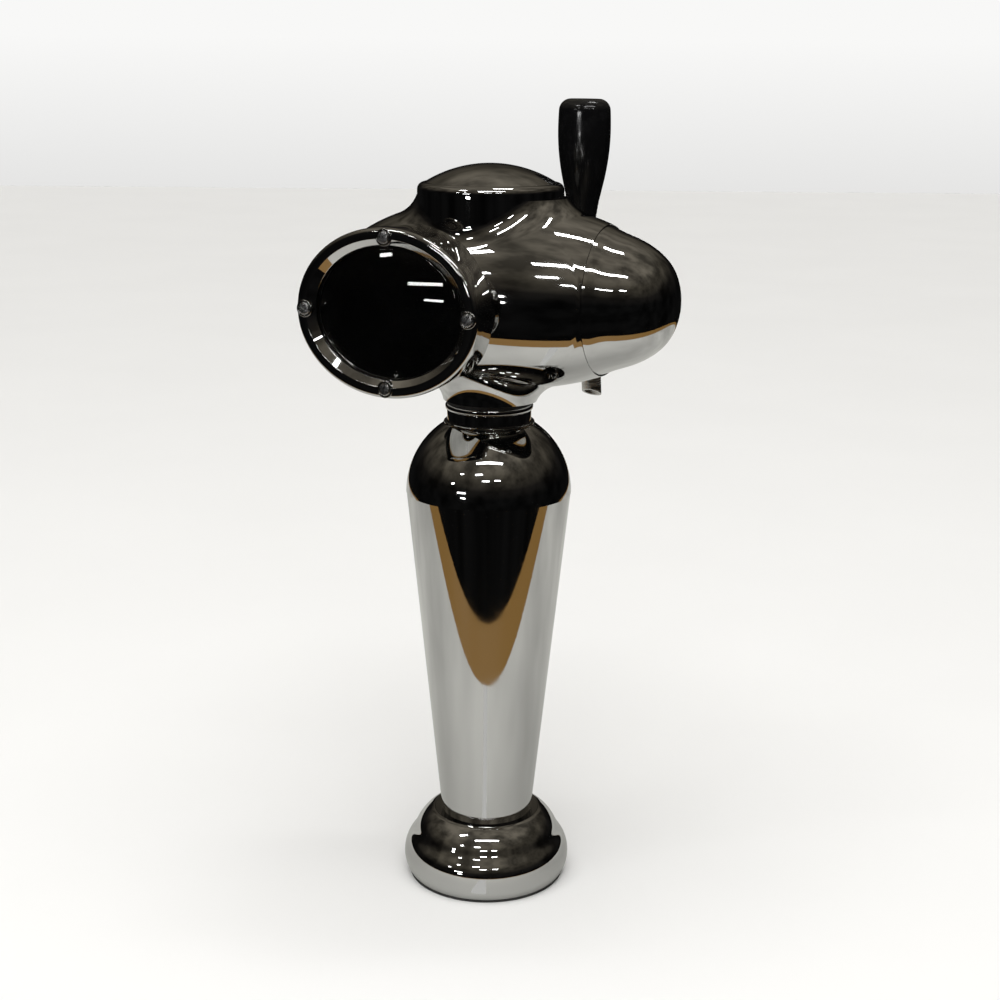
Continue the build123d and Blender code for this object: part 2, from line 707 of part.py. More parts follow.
# ---------------------------------------------------------------- end dome
dome_seat_x = seam_x + seat_gap
dome_tip_x = dome_seat_x + dome_len
dome_in_r = dome_rim_r - dome_rim_t
dome_sleeve_r = dome_bore_r - slip
dome_sleeve_in_r = dome_sleeve_r - dome_sleeve_wall
dome_ring_r = dome_bore_r - seat_gap - seal_wire_r
with BuildPart() as end_dome:
    with BuildSketch(barrel_plane):
        with BuildLine():
            dome_groove_r = dome_ring_r - seal_wire_r - seat_gap
            dome_in_len = dome_len - dome_wall
            dome_curve = [(dome_seat_x + along, dome_rim_r - drop) for along, drop in dome_profile]
            Spline(*dome_curve, (dome_tip_x, 0), tangents=((1, dome_start_slope), (0, -1)))
            Line((dome_tip_x, 0), (dome_tip_x - dome_wall, 0))
            EllipticalCenterArc((dome_seat_x, 0), dome_in_len, dome_in_r, start_angle=0, arc_size=90)
            Polyline(
                (dome_seat_x, dome_in_r),
                (dome_seat_x, dome_sleeve_in_r),
                (dome_land_x + slip, dome_sleeve_in_r),
                (dome_land_x + slip, dome_sleeve_r),
                (dome_seal_x - groove_half_w, dome_sleeve_r),
                (dome_seal_x - groove_half_w, dome_groove_r),
                (dome_seal_x + groove_half_w, dome_groove_r),
                (dome_seal_x + groove_half_w, dome_sleeve_r),
                (dome_seat_x, dome_sleeve_r),
                (dome_seat_x, dome_rim_r),
            )
        make_face()
    revolve(axis=head_axis)
    with BuildSketch(lock_plane(dome_sleeve_r - lock_dimple)):
        Circle(lock_screw_r + slip)
    extrude(amount=head_wall, mode=Mode.SUBTRACT)
finish(end_dome, "end_dome")

with BuildPart() as end_dome_seal:
    with Locations(Plane.YZ.offset(dome_seal_x)):
        with Locations((0, head_z)):
            Torus(dome_ring_r, seal_wire_r)
finish(end_dome_seal, "end_dome_seal")

lock_inner_end = dome_sleeve_r - lock_dimple + slip
with BuildPart() as dome_lock_screw:
    with BuildSketch(lock_plane(lock_inner_end)):
        Circle(lock_screw_r)
    extrude(amount=lock_screw_len)
    with BuildSketch(lock_plane(lock_inner_end + lock_screw_len)):
        RegularPolygon(lock_socket_af / 2, 6, major_radius=False)
    extrude(amount=-lock_socket_depth, mode=Mode.SUBTRACT)
finish(dome_lock_screw, "dome_lock_screw")

# ---------------------------------------------------------------- badge
lens_front_y = window_back_y - seat_gap
lens_back_y = lens_front_y - lens_flange_t
lens_seal_y = lens_back_y - seat_gap - lens_seal_t
disc_y = lens_seal_y - seat_gap - disc_t
carrier_front_y = disc_y - seat_gap
pocket_floor_y = drum_face_y - pocket_depth
with BuildPart() as badge_carrier:
    with BuildSketch(badge_plane(carrier_front_y)):
        Ellipse(disc_b * oval, disc_b)
    extrude(amount=-(carrier_front_y - pocket_floor_y - seat_gap))
    with BuildSketch(badge_plane(carrier_front_y - carrier_wall)):
        Ellipse(disc_b * oval - carrier_wall, disc_b - carrier_wall)
    extrude(amount=-pocket_depth, mode=Mode.SUBTRACT)
finish(badge_carrier, "badge_carrier")

with BuildPart() as badge_disc:
    with BuildSketch(badge_plane(disc_y)):
        Ellipse(disc_b * oval, disc_b)
    extrude(amount=disc_t)
finish(badge_disc, "badge_disc")

with BuildPart() as lens_seal:
    with BuildSketch(badge_plane(lens_seal_y)):
        Ellipse(lens_flange_b * oval, lens_flange_b)
        Ellipse(lens_flange_b * oval - lens_seal_w, lens_flange_b - lens_seal_w, mode=Mode.SUBTRACT)
    extrude(amount=lens_seal_t)
finish(lens_seal, "lens_seal")

# Domed clear lens with a flat flange: turned round first, then stretched to the oval.
with BuildPart() as lens_blank:
    with BuildSketch(Plane.XZ):
        with BuildLine():
            dome_base_r = window_b - slip
            lens_sphere_r = (dome_base_r**2 + lens_rise**2) / (2 * lens_rise)
            lens_centre_z = lens_rise - lens_sphere_r
            base_angle = degrees(acos(dome_base_r / lens_sphere_r))
            lens_in_r = lens_sphere_r - lens_t
            in_angle = degrees(asin((-lens_flange_t - lens_centre_z) / lens_in_r))
            Polyline((dome_base_r, 0), (lens_flange_b, 0), (lens_flange_b, -lens_flange_t))
            Line((lens_flange_b, -lens_flange_t), (lens_in_r * cos(radians(in_angle)), -lens_flange_t))
            CenterArc((0, lens_centre_z), lens_in_r, in_angle, 90 - in_angle)
            Line((0, lens_rise - lens_t), (0, lens_rise))
            CenterArc((0, lens_centre_z), lens_sphere_r, base_angle, 90 - base_angle)
        make_face()
    revolve(axis=Axis.Z)
    scale(by=(oval, 1, 1))

with BuildPart() as badge_lens:
    with Locations(badge_plane(lens_front_y)):
        add(lens_blank.part)
finish(badge_lens, "badge_lens")

with BuildPart() as bezel_ring:
    with BuildSketch(badge_plane(bezel_back_y)):
        Ellipse(bezel_a, bezel_b)
        Ellipse(window_a, window_b, mode=Mode.SUBTRACT)
    extrude(amount=bezel_t)
    fillet(bezel_ring.faces().sort_by(Axis.Y)[0].edges().sort_by(SortBy.LENGTH)[-1], bezel_edge)
    # Bevel from the flat ring in to the opening.
    with BuildSketch(badge_plane(bezel_front_y)):
        Ellipse(bezel_a - bezel_flat, bezel_b - bezel_flat)
    with BuildSketch(badge_plane(bezel_front_y - bevel_depth)):
        Ellipse(window_a, window_b)
    loft(mode=Mode.SUBTRACT)
    with BuildSketch(badge_plane(lug_face_y)):
        with Locations(*bezel_screw_spots):
            Circle(lug_r)
        Ellipse(window_a, window_b, mode=Mode.SUBTRACT)
    extrude(amount=bezel_back_y - lug_face_y)
    with BuildSketch(badge_plane(bezel_back_y)):
        Ellipse(lens_flange_b * oval + slip, lens_flange_b + slip)
    extrude(amount=window_back_y - bezel_back_y, mode=Mode.SUBTRACT)
    with BuildSketch(badge_plane(bezel_back_y)):
        with Locations(*bezel_screw_spots):
            Circle(screw_r + slip)
    extrude(amount=lug_face_y - bezel_back_y, mode=Mode.SUBTRACT)
    with BuildSketch(badge_plane(lug_face_y)):
        with Locations(*bezel_screw_spots):
            Circle(screw_head_r + slip)
    extrude(amount=-screw_sink, mode=Mode.SUBTRACT)
finish(bezel_ring, "bezel_ring")

screw_seat_y = lug_face_y - screw_sink + seat_gap
with BuildPart() as bezel_screws:
    with BuildSketch(badge_plane(screw_seat_y)):
        with Locations(*bezel_screw_spots):
            Circle(screw_r)
    extrude(amount=-screw_len)
    with BuildSketch(badge_plane(screw_seat_y)):
        with Locations(*bezel_screw_spots):
            Circle(screw_head_r)
    extrude(amount=screw_head_h)
    fillet(bezel_screws.faces().group_by(Axis.Y)[0].edges(), screw_head_h / 3)
    with BuildSketch(badge_plane(screw_seat_y + screw_head_h)):
        with Locations(*bezel_screw_spots):
            Rectangle(slot_w, 2 * screw_head_r)
    extrude(amount=-slot_depth, mode=Mode.SUBTRACT)
finish(bezel_screws, "bezel_screws")

# ---------------------------------------------------------------- tap shank
with BuildPart() as tap_shank:
    with BuildSketch(tap_plane):
        with BuildLine():
            Polyline(
                (hose_tail_y, shank_bore_r),
                (hose_tail_y, hose_tail_r),
                (shank_start_y, hose_tail_r),
                (shank_start_y, shank_r),
                (shank_end_y, shank_r),
                (shank_end_y, shank_bore_r),
                close=True,
            )
        make_face()
    revolve(axis=tap_axis)
finish(tap_shank, "tap_shank")

washer_y = pad_inner_y - seat_gap - shank_washer_t
with BuildPart() as shank_washer:
    with BuildSketch(tap_section(washer_y)):
        Circle(shank_washer_r)
        Circle(shank_r + slip, mode=Mode.SUBTRACT)
    extrude(amount=shank_washer_t)
finish(shank_washer, "shank_washer")

with BuildPart() as shank_nut:
    with BuildSketch(tap_section(washer_y - seat_gap - shank_nut_t)):
        RegularPolygon(shank_nut_af / 2, 6, major_radius=False)
        Circle(shank_r + fit, mode=Mode.SUBTRACT)
    extrude(amount=shank_nut_t)
finish(shank_nut, "shank_nut")

rosette_seal_y = pad_y + seat_gap
with BuildPart() as rosette_seal:
    with BuildSketch(tap_section(rosette_seal_y)):
        Circle(rosette_seal_r)
        Circle(shank_r + slip, mode=Mode.SUBTRACT)
    extrude(amount=rosette_seal_t)
finish(rosette_seal, "rosette_seal")

rosette_y = rosette_seal_y + rosette_seal_t + seat_gap
with BuildPart() as shank_rosette:
    with BuildSketch(tap_section(rosette_y)):
        Circle(rosette_r)
        Circle(shank_r + slip, mode=Mode.SUBTRACT)
    extrude(amount=rosette_t)
    front_edges = shank_rosette.edges().filter_by(GeomType.CIRCLE).group_by(Axis.Y)[-1]
    fillet(front_edges.sort_by(SortBy.RADIUS)[-1], rosette_edge)
finish(shank_rosette, "shank_rosette")

tap_flange_y = tap_start_y + tap_flange_t
with BuildPart() as tap_seal:
    with BuildSketch(tap_section(tap_seal_y)):
        Circle(tap_flange_r)
        Circle(tap_inlet_r, mode=Mode.SUBTRACT)
    extrude(amount=tap_seal_t)
finish(tap_seal, "tap_seal")

union_y = rosette_y + rosette_t + seat_gap
union_end_y = tap_flange_y + seat_gap + union_lip
with BuildPart() as union_nut:
    with BuildSketch(tap_plane):
        with BuildLine():
            Polyline(
                (union_y, shank_r + fit),
                (union_y, union_r - union_edge),
                (union_y + union_edge, union_r),
                (union_end_y - union_edge, union_r),
                (union_end_y, union_r - union_edge),
                (union_end_y, tap_r + slip),
                (union_end_y - union_lip, tap_r + slip),
                (union_end_y - union_lip, shank_r + fit),
                close=True,
            )
        make_face()
    revolve(axis=tap_axis)
    with BuildSketch(tap_section(union_y)):
        Circle(union_r + union_edge)
        RegularPolygon(union_r - union_edge, union_flat_count, major_radius=False, mode=Mode.SUBTRACT)
    extrude(amount=union_end_y - union_y, mode=Mode.SUBTRACT)
finish(union_nut, "union_nut")

# ---------------------------------------------------------------- tap body
with BuildPart() as tap_body:
    with BuildSketch(tap_plane):
        with BuildLine():
            Polyline(
                (tap_start_y, 0),
                (tap_start_y, tap_flange_r),
                (tap_flange_y, tap_flange_r),
                (tap_flange_y, tap_r),
                (tap_front_y, tap_r),
                (tap_front_y, 0),
                close=True,
            )
        make_face()
    revolve(axis=tap_axis)
    with BuildSketch(tower_plane(0)):
        Circle(tower_r)
    extrude(amount=pivot_h + tower_top)
    with BuildSketch(dial_plane(0)):
        Circle(dial_boss_r)
    extrude(amount=dial_boss_x)
    with BuildSketch(spout_plane(0)):
        Circle(spout_boss_r)
    extrude(amount=spout_boss_end)
    # Bore: inlet, taper for the flow cone, cylinder for the piston, thread for the plug.
    with BuildSketch(tap_plane):
        with BuildLine():
            Polyline(
                (tap_start_y, 0),
                (tap_start_y, tap_inlet_r),
                (tap_taper_y, tap_inlet_r),
                (tap_taper_y + tap_taper_len, tap_bore_r),
                (plug_seat_y, tap_bore_r),
                (plug_seat_y, plug_thread_r + fit),
                (tap_front_y, plug_thread_r + fit),
                (tap_front_y, 0),
                close=True,
            )
        make_face()
    revolve(axis=tap_axis, mode=Mode.SUBTRACT)
    # Lever's tower: seat for the rings, room round the ball, slot for the finger.
    with BuildSketch(tower_plane(pivot_h - seat_half_h - seat_gap)):
        Circle(seat_r + slip)
    extrude(amount=tower_top + 2 * seat_half_h, mode=Mode.SUBTRACT)
    with Locations((tap_x, pivot_y, pivot_z)):
        Sphere(ball_r + open_gap, mode=Mode.SUBTRACT)
    with BuildSketch(tower_plane(0)):
        with Locations((0, (throat_front - throat_back) / 2)):
            SlotOverall(throat_back + throat_front, 2 * throat_half_w, rotation=90)
    extrude(amount=pivot_h - seat_half_h, mode=Mode.SUBTRACT)
    # Flow control: shaft hole and gland; outlet port and spout socket.
    with BuildSketch(dial_plane(0)):
        Circle(dial_shaft_r + fit)
    extrude(amount=dial_boss_x, mode=Mode.SUBTRACT)
    with BuildSketch(dial_plane(gland_start_x)):
        Circle(gland_bore_r)
    extrude(amount=dial_boss_x - gland_start_x, mode=Mode.SUBTRACT)
    with BuildSketch(spout_plane(0)):
        Circle(port_r)
    extrude(amount=spout_boss_end, mode=Mode.SUBTRACT)
    with BuildSketch(spout_plane(spout_boss_end)):
        Circle(spout_r + fit)
    extrude(amount=-spout_socket, mode=Mode.SUBTRACT)
finish(tap_body, "tap_body")

with BuildPart() as tap_plug:
    with BuildSketch(tap_section(plug_seat_y + seat_gap)):
        Circle(plug_thread_r)
    extrude(amount=tap_front_y - plug_seat_y)
    with BuildSketch(tap_section(tap_front_y + seat_gap)):
        Circle(plug_head_r)
    extrude(amount=plug_head_t)
    fillet(tap_plug.faces().sort_by(Axis.Y)[-1].edges(), plug_edge)
    with BuildSketch(tap_section(tap_front_y + seat_gap + plug_head_t)):
        RegularPolygon(plug_socket_af / 2, 6, major_radius=False)
    extrude(amount=-plug_socket_depth, mode=Mode.SUBTRACT)
finish(tap_plug, "tap_plug")

# The tip is cut at a slant, longest on the far side from the column.
cut_tilt = spout_angle - radians(spout_cut_angle)
cut_normal = (0, sin(cut_tilt), -cos(cut_tilt))
spout_cut_plane = Plane(origin=spout_plane(spout_len).origin, x_dir=(1, 0, 0), z_dir=cut_normal)
with BuildPart() as spout:
    with BuildSketch(spout_plane(spout_boss_end - spout_socket + seat_gap)):
        Circle(spout_r)
    extrude(amount=spout_len - spout_boss_end + spout_socket + spout_spare)
    with BuildSketch(spout_plane(spout_boss_end + seat_gap)):
        Circle(spout_collar_r)
    extrude(amount=spout_collar_len)
    collar_edges = spout.edges().filter_by(GeomType.CIRCLE).group_by(SortBy.RADIUS)[-1]
    chamfer(collar_edges.sort_by(Axis.Z)[0], spout_collar_edge)
    with BuildSketch(spout_plane(0)):
        Circle(spout_bore_r)
    extrude(amount=spout_len + 2 * spout_spare, mode=Mode.SUBTRACT)
    split(bisect_by=spout_cut_plane, keep=Keep.BOTTOM)
finish(spout, "spout")

# ---------------------------------------------------------------- flow control
cone_end_y = cone_start_y + cone_len
pin_back = dial_throw * cos(radians(dial_rest))
pin_drop = dial_throw * sin(radians(dial_rest))
groove_y = dial_y - pin_back
groove_w = 2 * (dial_pin_r + open_gap)
with BuildPart() as flow_cone:
    with BuildSketch(tap_plane):
        with BuildLine():
            Polyline(
                (cone_start_y, 0),
                (cone_start_y, cone_small_r),
                (cone_end_y, cone_big_r),
                (cone_end_y, 0),
                close=True,
            )
        make_face()
    revolve(axis=tap_axis)
    with BuildSketch(tap_section(groove_y - groove_w / 2)):
        Circle(tap_bore_r)
        Circle(cone_groove_r, mode=Mode.SUBTRACT)
    extrude(amount=groove_w, mode=Mode.SUBTRACT)
    with BuildSketch(tap_section(cone_start_y)):
        Rectangle(cone_vane_t, 2 * cone_vane_half_w)
        Rectangle(2 * cone_vane_half_w, cone_vane_t)
    extrude(amount=-cone_vane_len)
finish(flow_cone, "flow_cone")

with BuildPart() as flow_lever:
    with BuildSketch(dial_plane(dial_start_x)):
        Circle(dial_shaft_r)
    extrude(amount=dial_hub_x - dial_start_x)
    with BuildSketch(dial_plane(dial_collar_x)):
        Circle(dial_collar_r)
    extrude(amount=dial_collar_t)
    with BuildSketch(dial_plane(dial_hub_x)):
        Circle(dial_hub_r)
    extrude(amount=dial_hub_t)
    fillet(flow_lever.faces().sort_by(Axis.X)[-1].edges(), dial_hub_edge)
    with BuildSketch(dial_plane(dial_hub_x + dial_hub_t / 2 - dial_arm_t / 2)):
        with Locations((0, -dial_arm_len / 2)):
            SlotOverall(dial_arm_len + dial_arm_w, dial_arm_w, rotation=90)
    extrude(amount=dial_arm_t)
    with BuildSketch(dial_plane(dial_start_x)):
        with Locations((-pin_back, -pin_drop)):
            Circle(dial_pin_r)
    extrude(amount=dial_pin_x - dial_start_x)
finish(flow_lever, "flow_lever")

dial_ring_r = dial_shaft_r + seat_gap + dial_wire_r
with BuildPart() as flow_lever_seal:
    with Locations(dial_plane(gland_start_x + seat_gap + dial_wire_r)):
        Torus(dial_ring_r, dial_wire_r)
finish(flow_lever_seal, "flow_lever_seal")

gland_y = dial_collar_x + dial_collar_t + seat_gap
with BuildPart() as flow_lever_gland:
    with BuildSketch(dial_plane(gland_y)):
        Circle(gland_bore_r - fit)
        Circle(dial_shaft_r + fit, mode=Mode.SUBTRACT)
    extrude(amount=dial_boss_x - gland_y)
finish(flow_lever_gland, "flow_lever_gland")

# ---------------------------------------------------------------- piston
piston_start_y = pivot_y - piston_back
piston_end_y = pivot_y + piston_front
piston_r = tap_bore_r - fit
ring_wire_centre_r = tap_bore_r - seat_gap - piston_wire_r
slot_half = finger_ball_r + piston_slot_gap
slot_floor = finger_z - head_z - slot_half
with BuildPart() as piston:
    with BuildSketch(tap_section(piston_start_y)):
        Circle(piston_r)
    extrude(amount=piston_end_y - piston_start_y)
    for ring_y in piston_seal_y:
        with BuildSketch(tap_section(pivot_y + ring_y - piston_wire_r - seat_gap)):
            Circle(tap_bore_r)
            Circle(ring_wire_centre_r - piston_wire_r - seat_gap, mode=Mode.SUBTRACT)
        extrude(amount=2 * (piston_wire_r + seat_gap), mode=Mode.SUBTRACT)
    with BuildSketch(tap_section(piston_start_y)):
        Circle(piston_bore_r)
    extrude(amount=piston_end_y - piston_start_y, mode=Mode.SUBTRACT)
    # Pocket for the lever's finger, wider at the top for its swing.
    with BuildSketch(tap_plane):
        with BuildLine():
            Polyline(
                (pivot_y - slot_half, slot_floor),
                (pivot_y + slot_half, slot_floor),
                (pivot_y + slot_half, piston_flare_z),
                (pivot_y + slot_half + piston_flare, tap_bore_r),
                (pivot_y - slot_half - piston_flare, tap_bore_r),
                (pivot_y - slot_half, piston_flare_z),
                close=True,
            )
        make_face()
    extrude(amount=slot_half, both=True, mode=Mode.SUBTRACT)
finish(piston, "piston")

with BuildPart() as piston_seals:
    for ring_y in piston_seal_y:
        with Locations(tap_section(pivot_y + ring_y)):
            Torus(ring_wire_centre_r, piston_wire_r)
finish(piston_seals, "piston_seals")

# ---------------------------------------------------------------- lever
# Two rings hold the lever's ball from below and above.
for sign, label in ((-1, "lever_seat_lower"), (1, "lever_seat_upper")):
    with BuildPart() as seat_ring:
        with BuildSketch(lever_plane):
            with BuildLine():
                seat_mouth_r = sqrt((ball_r + fit) ** 2 - seat_half_h**2)
                seat_waist_r = sqrt((ball_r + fit) ** 2 - seat_split**2)
                seat_mid_h = (seat_half_h + seat_split) / 2
                ThreePointArc(
                    (seat_waist_r, sign * seat_split),
                    (sqrt((ball_r + fit) ** 2 - seat_mid_h**2), sign * seat_mid_h),
                    (seat_mouth_r, sign * seat_half_h),
                )
                Polyline(
                    (seat_mouth_r, sign * seat_half_h),
                    (seat_r, sign * seat_half_h),
                    (seat_r, sign * seat_split),
                    (seat_waist_r, sign * seat_split),
                )
            make_face()
        revolve(axis=lever_axis)
    finish(seat_ring, label)

with BuildPart() as bonnet_nut:
    with BuildSketch(lever_plane):
        with BuildLine():
            bonnet_in_z = seat_half_h + seat_gap
            bonnet_top_z = bonnet_in_z + bonnet_lip_t
            Polyline(
                (tower_r + fit, bonnet_in_z),
                (bonnet_mouth_r, bonnet_in_z),
                (bonnet_flare_r, bonnet_top_z),
                (bonnet_r - bonnet_edge, bonnet_top_z),
                (bonnet_r, bonnet_top_z - bonnet_edge),
                (bonnet_r, bonnet_in_z - bonnet_skirt),
                (tower_r + fit, bonnet_in_z - bonnet_skirt),
                close=True,
            )
        make_face()
    revolve(axis=lever_axis)
finish(bonnet_nut, "bonnet_nut")

stud_top_z = pivot_z + ferrule_gap + ferrule_h + stud_in_handle
with BuildPart() as tap_lever:
    with Locations((tap_x, pivot_y, pivot_z)):
        Sphere(ball_r)
    with BuildSketch(Plane.XY.offset(pivot_z)):
        with Locations((tap_x, pivot_y)):
            Circle(stud_r)
    extrude(amount=stud_top_z - pivot_z)
    with BuildSketch(Plane.XY.offset(finger_z)):
        with Locations((tap_x, pivot_y)):
            Circle(lever_rod_r)
    extrude(amount=finger_len)
    with Locations((tap_x, pivot_y, finger_z)):
        Sphere(finger_ball_r)
finish(tap_lever, "tap_lever")

ferrule_z = pivot_z + ferrule_gap
with BuildPart() as handle_ferrule:
    with BuildSketch(lever_plane):
        with BuildLine():
            ferrule_top = ferrule_gap + ferrule_h
            Line((stud_r + fit, ferrule_gap), (ferrule_waist_r, ferrule_gap))
            ThreePointArc(
                (ferrule_waist_r, ferrule_gap),
                (ferrule_waist_r + (ferrule_r - ferrule_waist_r) / 4, ferrule_gap + ferrule_h / 2),
                (ferrule_r, ferrule_top),
            )
            Polyline((ferrule_r, ferrule_top), (stud_r + fit, ferrule_top), (stud_r + fit, ferrule_gap))
        make_face()
    revolve(axis=lever_axis)
finish(handle_ferrule, "handle_ferrule")

handle_z = ferrule_z + ferrule_h + seat_gap
with BuildPart() as tap_handle:
    for height, half_w, half_d in handle_sections:
        with BuildSketch(Plane.XY.offset(handle_z + height)):
            with Locations((tap_x, pivot_y)):
                Ellipse(half_w, half_d)
    loft()
    fillet(tap_handle.faces().sort_by(Axis.Z)[-1].edges(), handle_edge)
    with BuildSketch(Plane.XY.offset(handle_z)):
        with Locations((tap_x, pivot_y)):
            Circle(stud_r + fit)
    extrude(amount=stud_in_handle + slip, mode=Mode.SUBTRACT)
finish(tap_handle, "tap_handle")

# ---------------------------------------------------------------- lines inside the tower
with BuildPart() as elbow_connector:
    with BuildSketch(Plane.XY.offset(head_z - elbow_drop)):
        with Locations((tap_x, line_y)):
            Circle(elbow_r)
    extrude(amount=elbow_drop)
    with BuildSketch(tap_section(line_y)):
        Circle(elbow_r)
    extrude(amount=elbow_end_y - line_y)
    with Locations((tap_x, line_y, head_z)):
        Sphere(elbow_r)
    with BuildSketch(Plane.XY.offset(head_z - elbow_drop)):
        with Locations((tap_x, line_y)):
            Circle(line_bore_r)
    extrude(amount=elbow_drop, mode=Mode.SUBTRACT)
    with BuildSketch(tap_section(line_y)):
        Circle(line_bore_r)
    extrude(amount=elbow_end_y - line_y, mode=Mode.SUBTRACT)
    with Locations((tap_x, line_y, head_z)):
        Sphere(line_bore_r, mode=Mode.SUBTRACT)
    with BuildSketch(Plane.XY.offset(head_z - elbow_drop)):
        with Locations((tap_x, line_y)):
            Circle(line_r + fit)
    extrude(amount=elbow_socket, mode=Mode.SUBTRACT)
    with BuildSketch(tap_section(elbow_end_y)):
        Circle(hose_tail_r + fit)
    extrude(amount=hose_tail_y - seat_gap - elbow_end_y, mode=Mode.SUBTRACT)
finish(elbow_connector, "elbow_connector")

line_swing_z = neck_tube_top_z + line_swing_gap
with BuildPart() as beer_line:
    with BuildLine():
        line_path = FilletPolyline(
            (line_x, line_y, line_end_z),
            (line_x, line_y, line_swing_z),
            (tap_x, line_y, line_swing_z + line_swing_h),
            (tap_x, line_y, head_z - elbow_drop + elbow_socket - seat_gap),
            radius=line_bend_r,
        )
    with BuildSketch(Plane.XY.offset(line_end_z)):
        with Locations((line_x, line_y)):
            Circle(line_r)
            Circle(line_bore_r, mode=Mode.SUBTRACT)
    sweep(path=line_path)
finish(beer_line, "beer_line")

bend_z = neck_tube_top_z + coolant_top_above_nut
with BuildPart() as cooling_loop:
    with BuildLine():
        Line((coolant_x, -coolant_bend_r, line_end_z), (coolant_x, -coolant_bend_r, bend_z))
        ThreePointArc(
            (coolant_x, -coolant_bend_r, bend_z),
            (coolant_x, 0, bend_z + coolant_bend_r),
            (coolant_x, coolant_bend_r, bend_z),
        )
        Line((coolant_x, coolant_bend_r, bend_z), (coolant_x, coolant_bend_r, line_end_z))
    with BuildSketch(Plane.XY.offset(line_end_z)):
        with Locations((coolant_x, -coolant_bend_r)):
            Circle(coolant_r)
            Circle(coolant_bore_r, mode=Mode.SUBTRACT)
    sweep()
finish(cooling_loop, "cooling_loop")

# Foam core that fills the column round the lines.
core_end_z = flange_low_z - core_top_gap
core_sphere_r = shoulder_in_r - core_gap
core_start_r = column_foot_r - column_wall - core_gap + (core_start_z - foot_seat_z) * cone_slope
with BuildPart() as insulation_core:
    with BuildSketch(Plane.XZ):
        with BuildLine():
            core_top_angle = asin((core_end_z - crease_z) / core_sphere_r)
            core_mid = core_top_angle / 2
            core_crease_r = column_crease_r - column_wall - core_gap
            Polyline(
                (0, core_end_z),
                (0, core_start_z),
                (core_start_r, core_start_z),
                (core_crease_r, crease_z),
                (core_sphere_r, crease_z),
            )
            ThreePointArc(
                (core_sphere_r, crease_z),
                (core_sphere_r * cos(core_mid), crease_z + core_sphere_r * sin(core_mid)),
                (core_sphere_r * cos(core_top_angle), core_end_z),
            )
            Line((core_sphere_r * cos(core_top_angle), core_end_z), (0, core_end_z))
        make_face()
    revolve(axis=Axis.Z)
    with BuildSketch(Plane.XY.offset(core_start_z)):
        with Locations((line_x, line_y)):
            Circle(line_r + slip)
        with Locations((coolant_x, coolant_bend_r), (coolant_x, -coolant_bend_r)):
            Circle(coolant_r + slip)
    extrude(amount=core_end_z - core_start_z, mode=Mode.SUBTRACT)
finish(insulation_core, "insulation_core")
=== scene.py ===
"""Looks for a chromed beer tower: tapered column, barrel-shaped head, oval badge place and one lever tap."""

import logging
import math
from dataclasses import dataclass
from enum import Enum

import bmesh
import bpy
import numpy as np
from mathutils import Matrix, Vector

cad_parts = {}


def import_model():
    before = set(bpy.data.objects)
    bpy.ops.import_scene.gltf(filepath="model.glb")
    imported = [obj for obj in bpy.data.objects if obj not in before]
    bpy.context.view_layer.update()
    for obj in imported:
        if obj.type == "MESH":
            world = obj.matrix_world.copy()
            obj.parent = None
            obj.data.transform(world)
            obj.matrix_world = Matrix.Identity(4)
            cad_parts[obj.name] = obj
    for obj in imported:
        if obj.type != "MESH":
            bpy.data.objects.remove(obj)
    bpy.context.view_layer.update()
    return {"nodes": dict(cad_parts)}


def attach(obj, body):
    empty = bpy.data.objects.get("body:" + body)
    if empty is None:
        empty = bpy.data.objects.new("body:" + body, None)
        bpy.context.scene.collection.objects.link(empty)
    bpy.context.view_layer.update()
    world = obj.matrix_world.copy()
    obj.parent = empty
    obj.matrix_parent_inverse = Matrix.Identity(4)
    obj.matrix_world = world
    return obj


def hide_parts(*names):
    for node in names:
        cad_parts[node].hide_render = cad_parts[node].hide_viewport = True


LOG = logging.getLogger("beer_tower")
Pair = tuple[float, float]
Triple = tuple[float, float, float]
Piece = bpy.types.Object
Socket = bpy.types.NodeSocket

MM = 0.001
HEAD_Z = 376.955
TAP_X = 19.0


# ---------------------------------------------------------------- shapes
class Way(Enum):
    """Directions that a turned piece's axis can take, as (axis, first radial, second radial)."""

    UP = ((0, 0, 1), (1, 0, 0), (0, 1, 0))
    BARREL = ((1, 0, 0), (0, 1, 0), (0, 0, 1))
    TAP = ((0, 1, 0), (0, 0, 1), (1, 0, 0))
    BADGE = ((0, -1, 0), (1, 0, 0), (0, 0, 1))


def round_turn(steps: int) -> np.ndarray:
    """Even angles round a full turn, in radians."""
    return np.linspace(0, 2 * math.pi, steps, endpoint=False)


def arc(centre: Pair, radius: float, start: float, end: float, count: int = 12) -> np.ndarray:
    """Points of a circular arc, p(t) = centre + radius * (cos t, sin t).

    Args:
        centre: Middle of the circle.
        radius: Its radius.
        start: First angle, in degrees.
        end: Last angle, in degrees.
        count: Number of points.

    Returns:
        An array of count points.
    """
    angle = np.radians(np.linspace(start, end, count))
    return np.column_stack((centre[0] + radius * np.cos(angle), centre[1] + radius * np.sin(angle)))


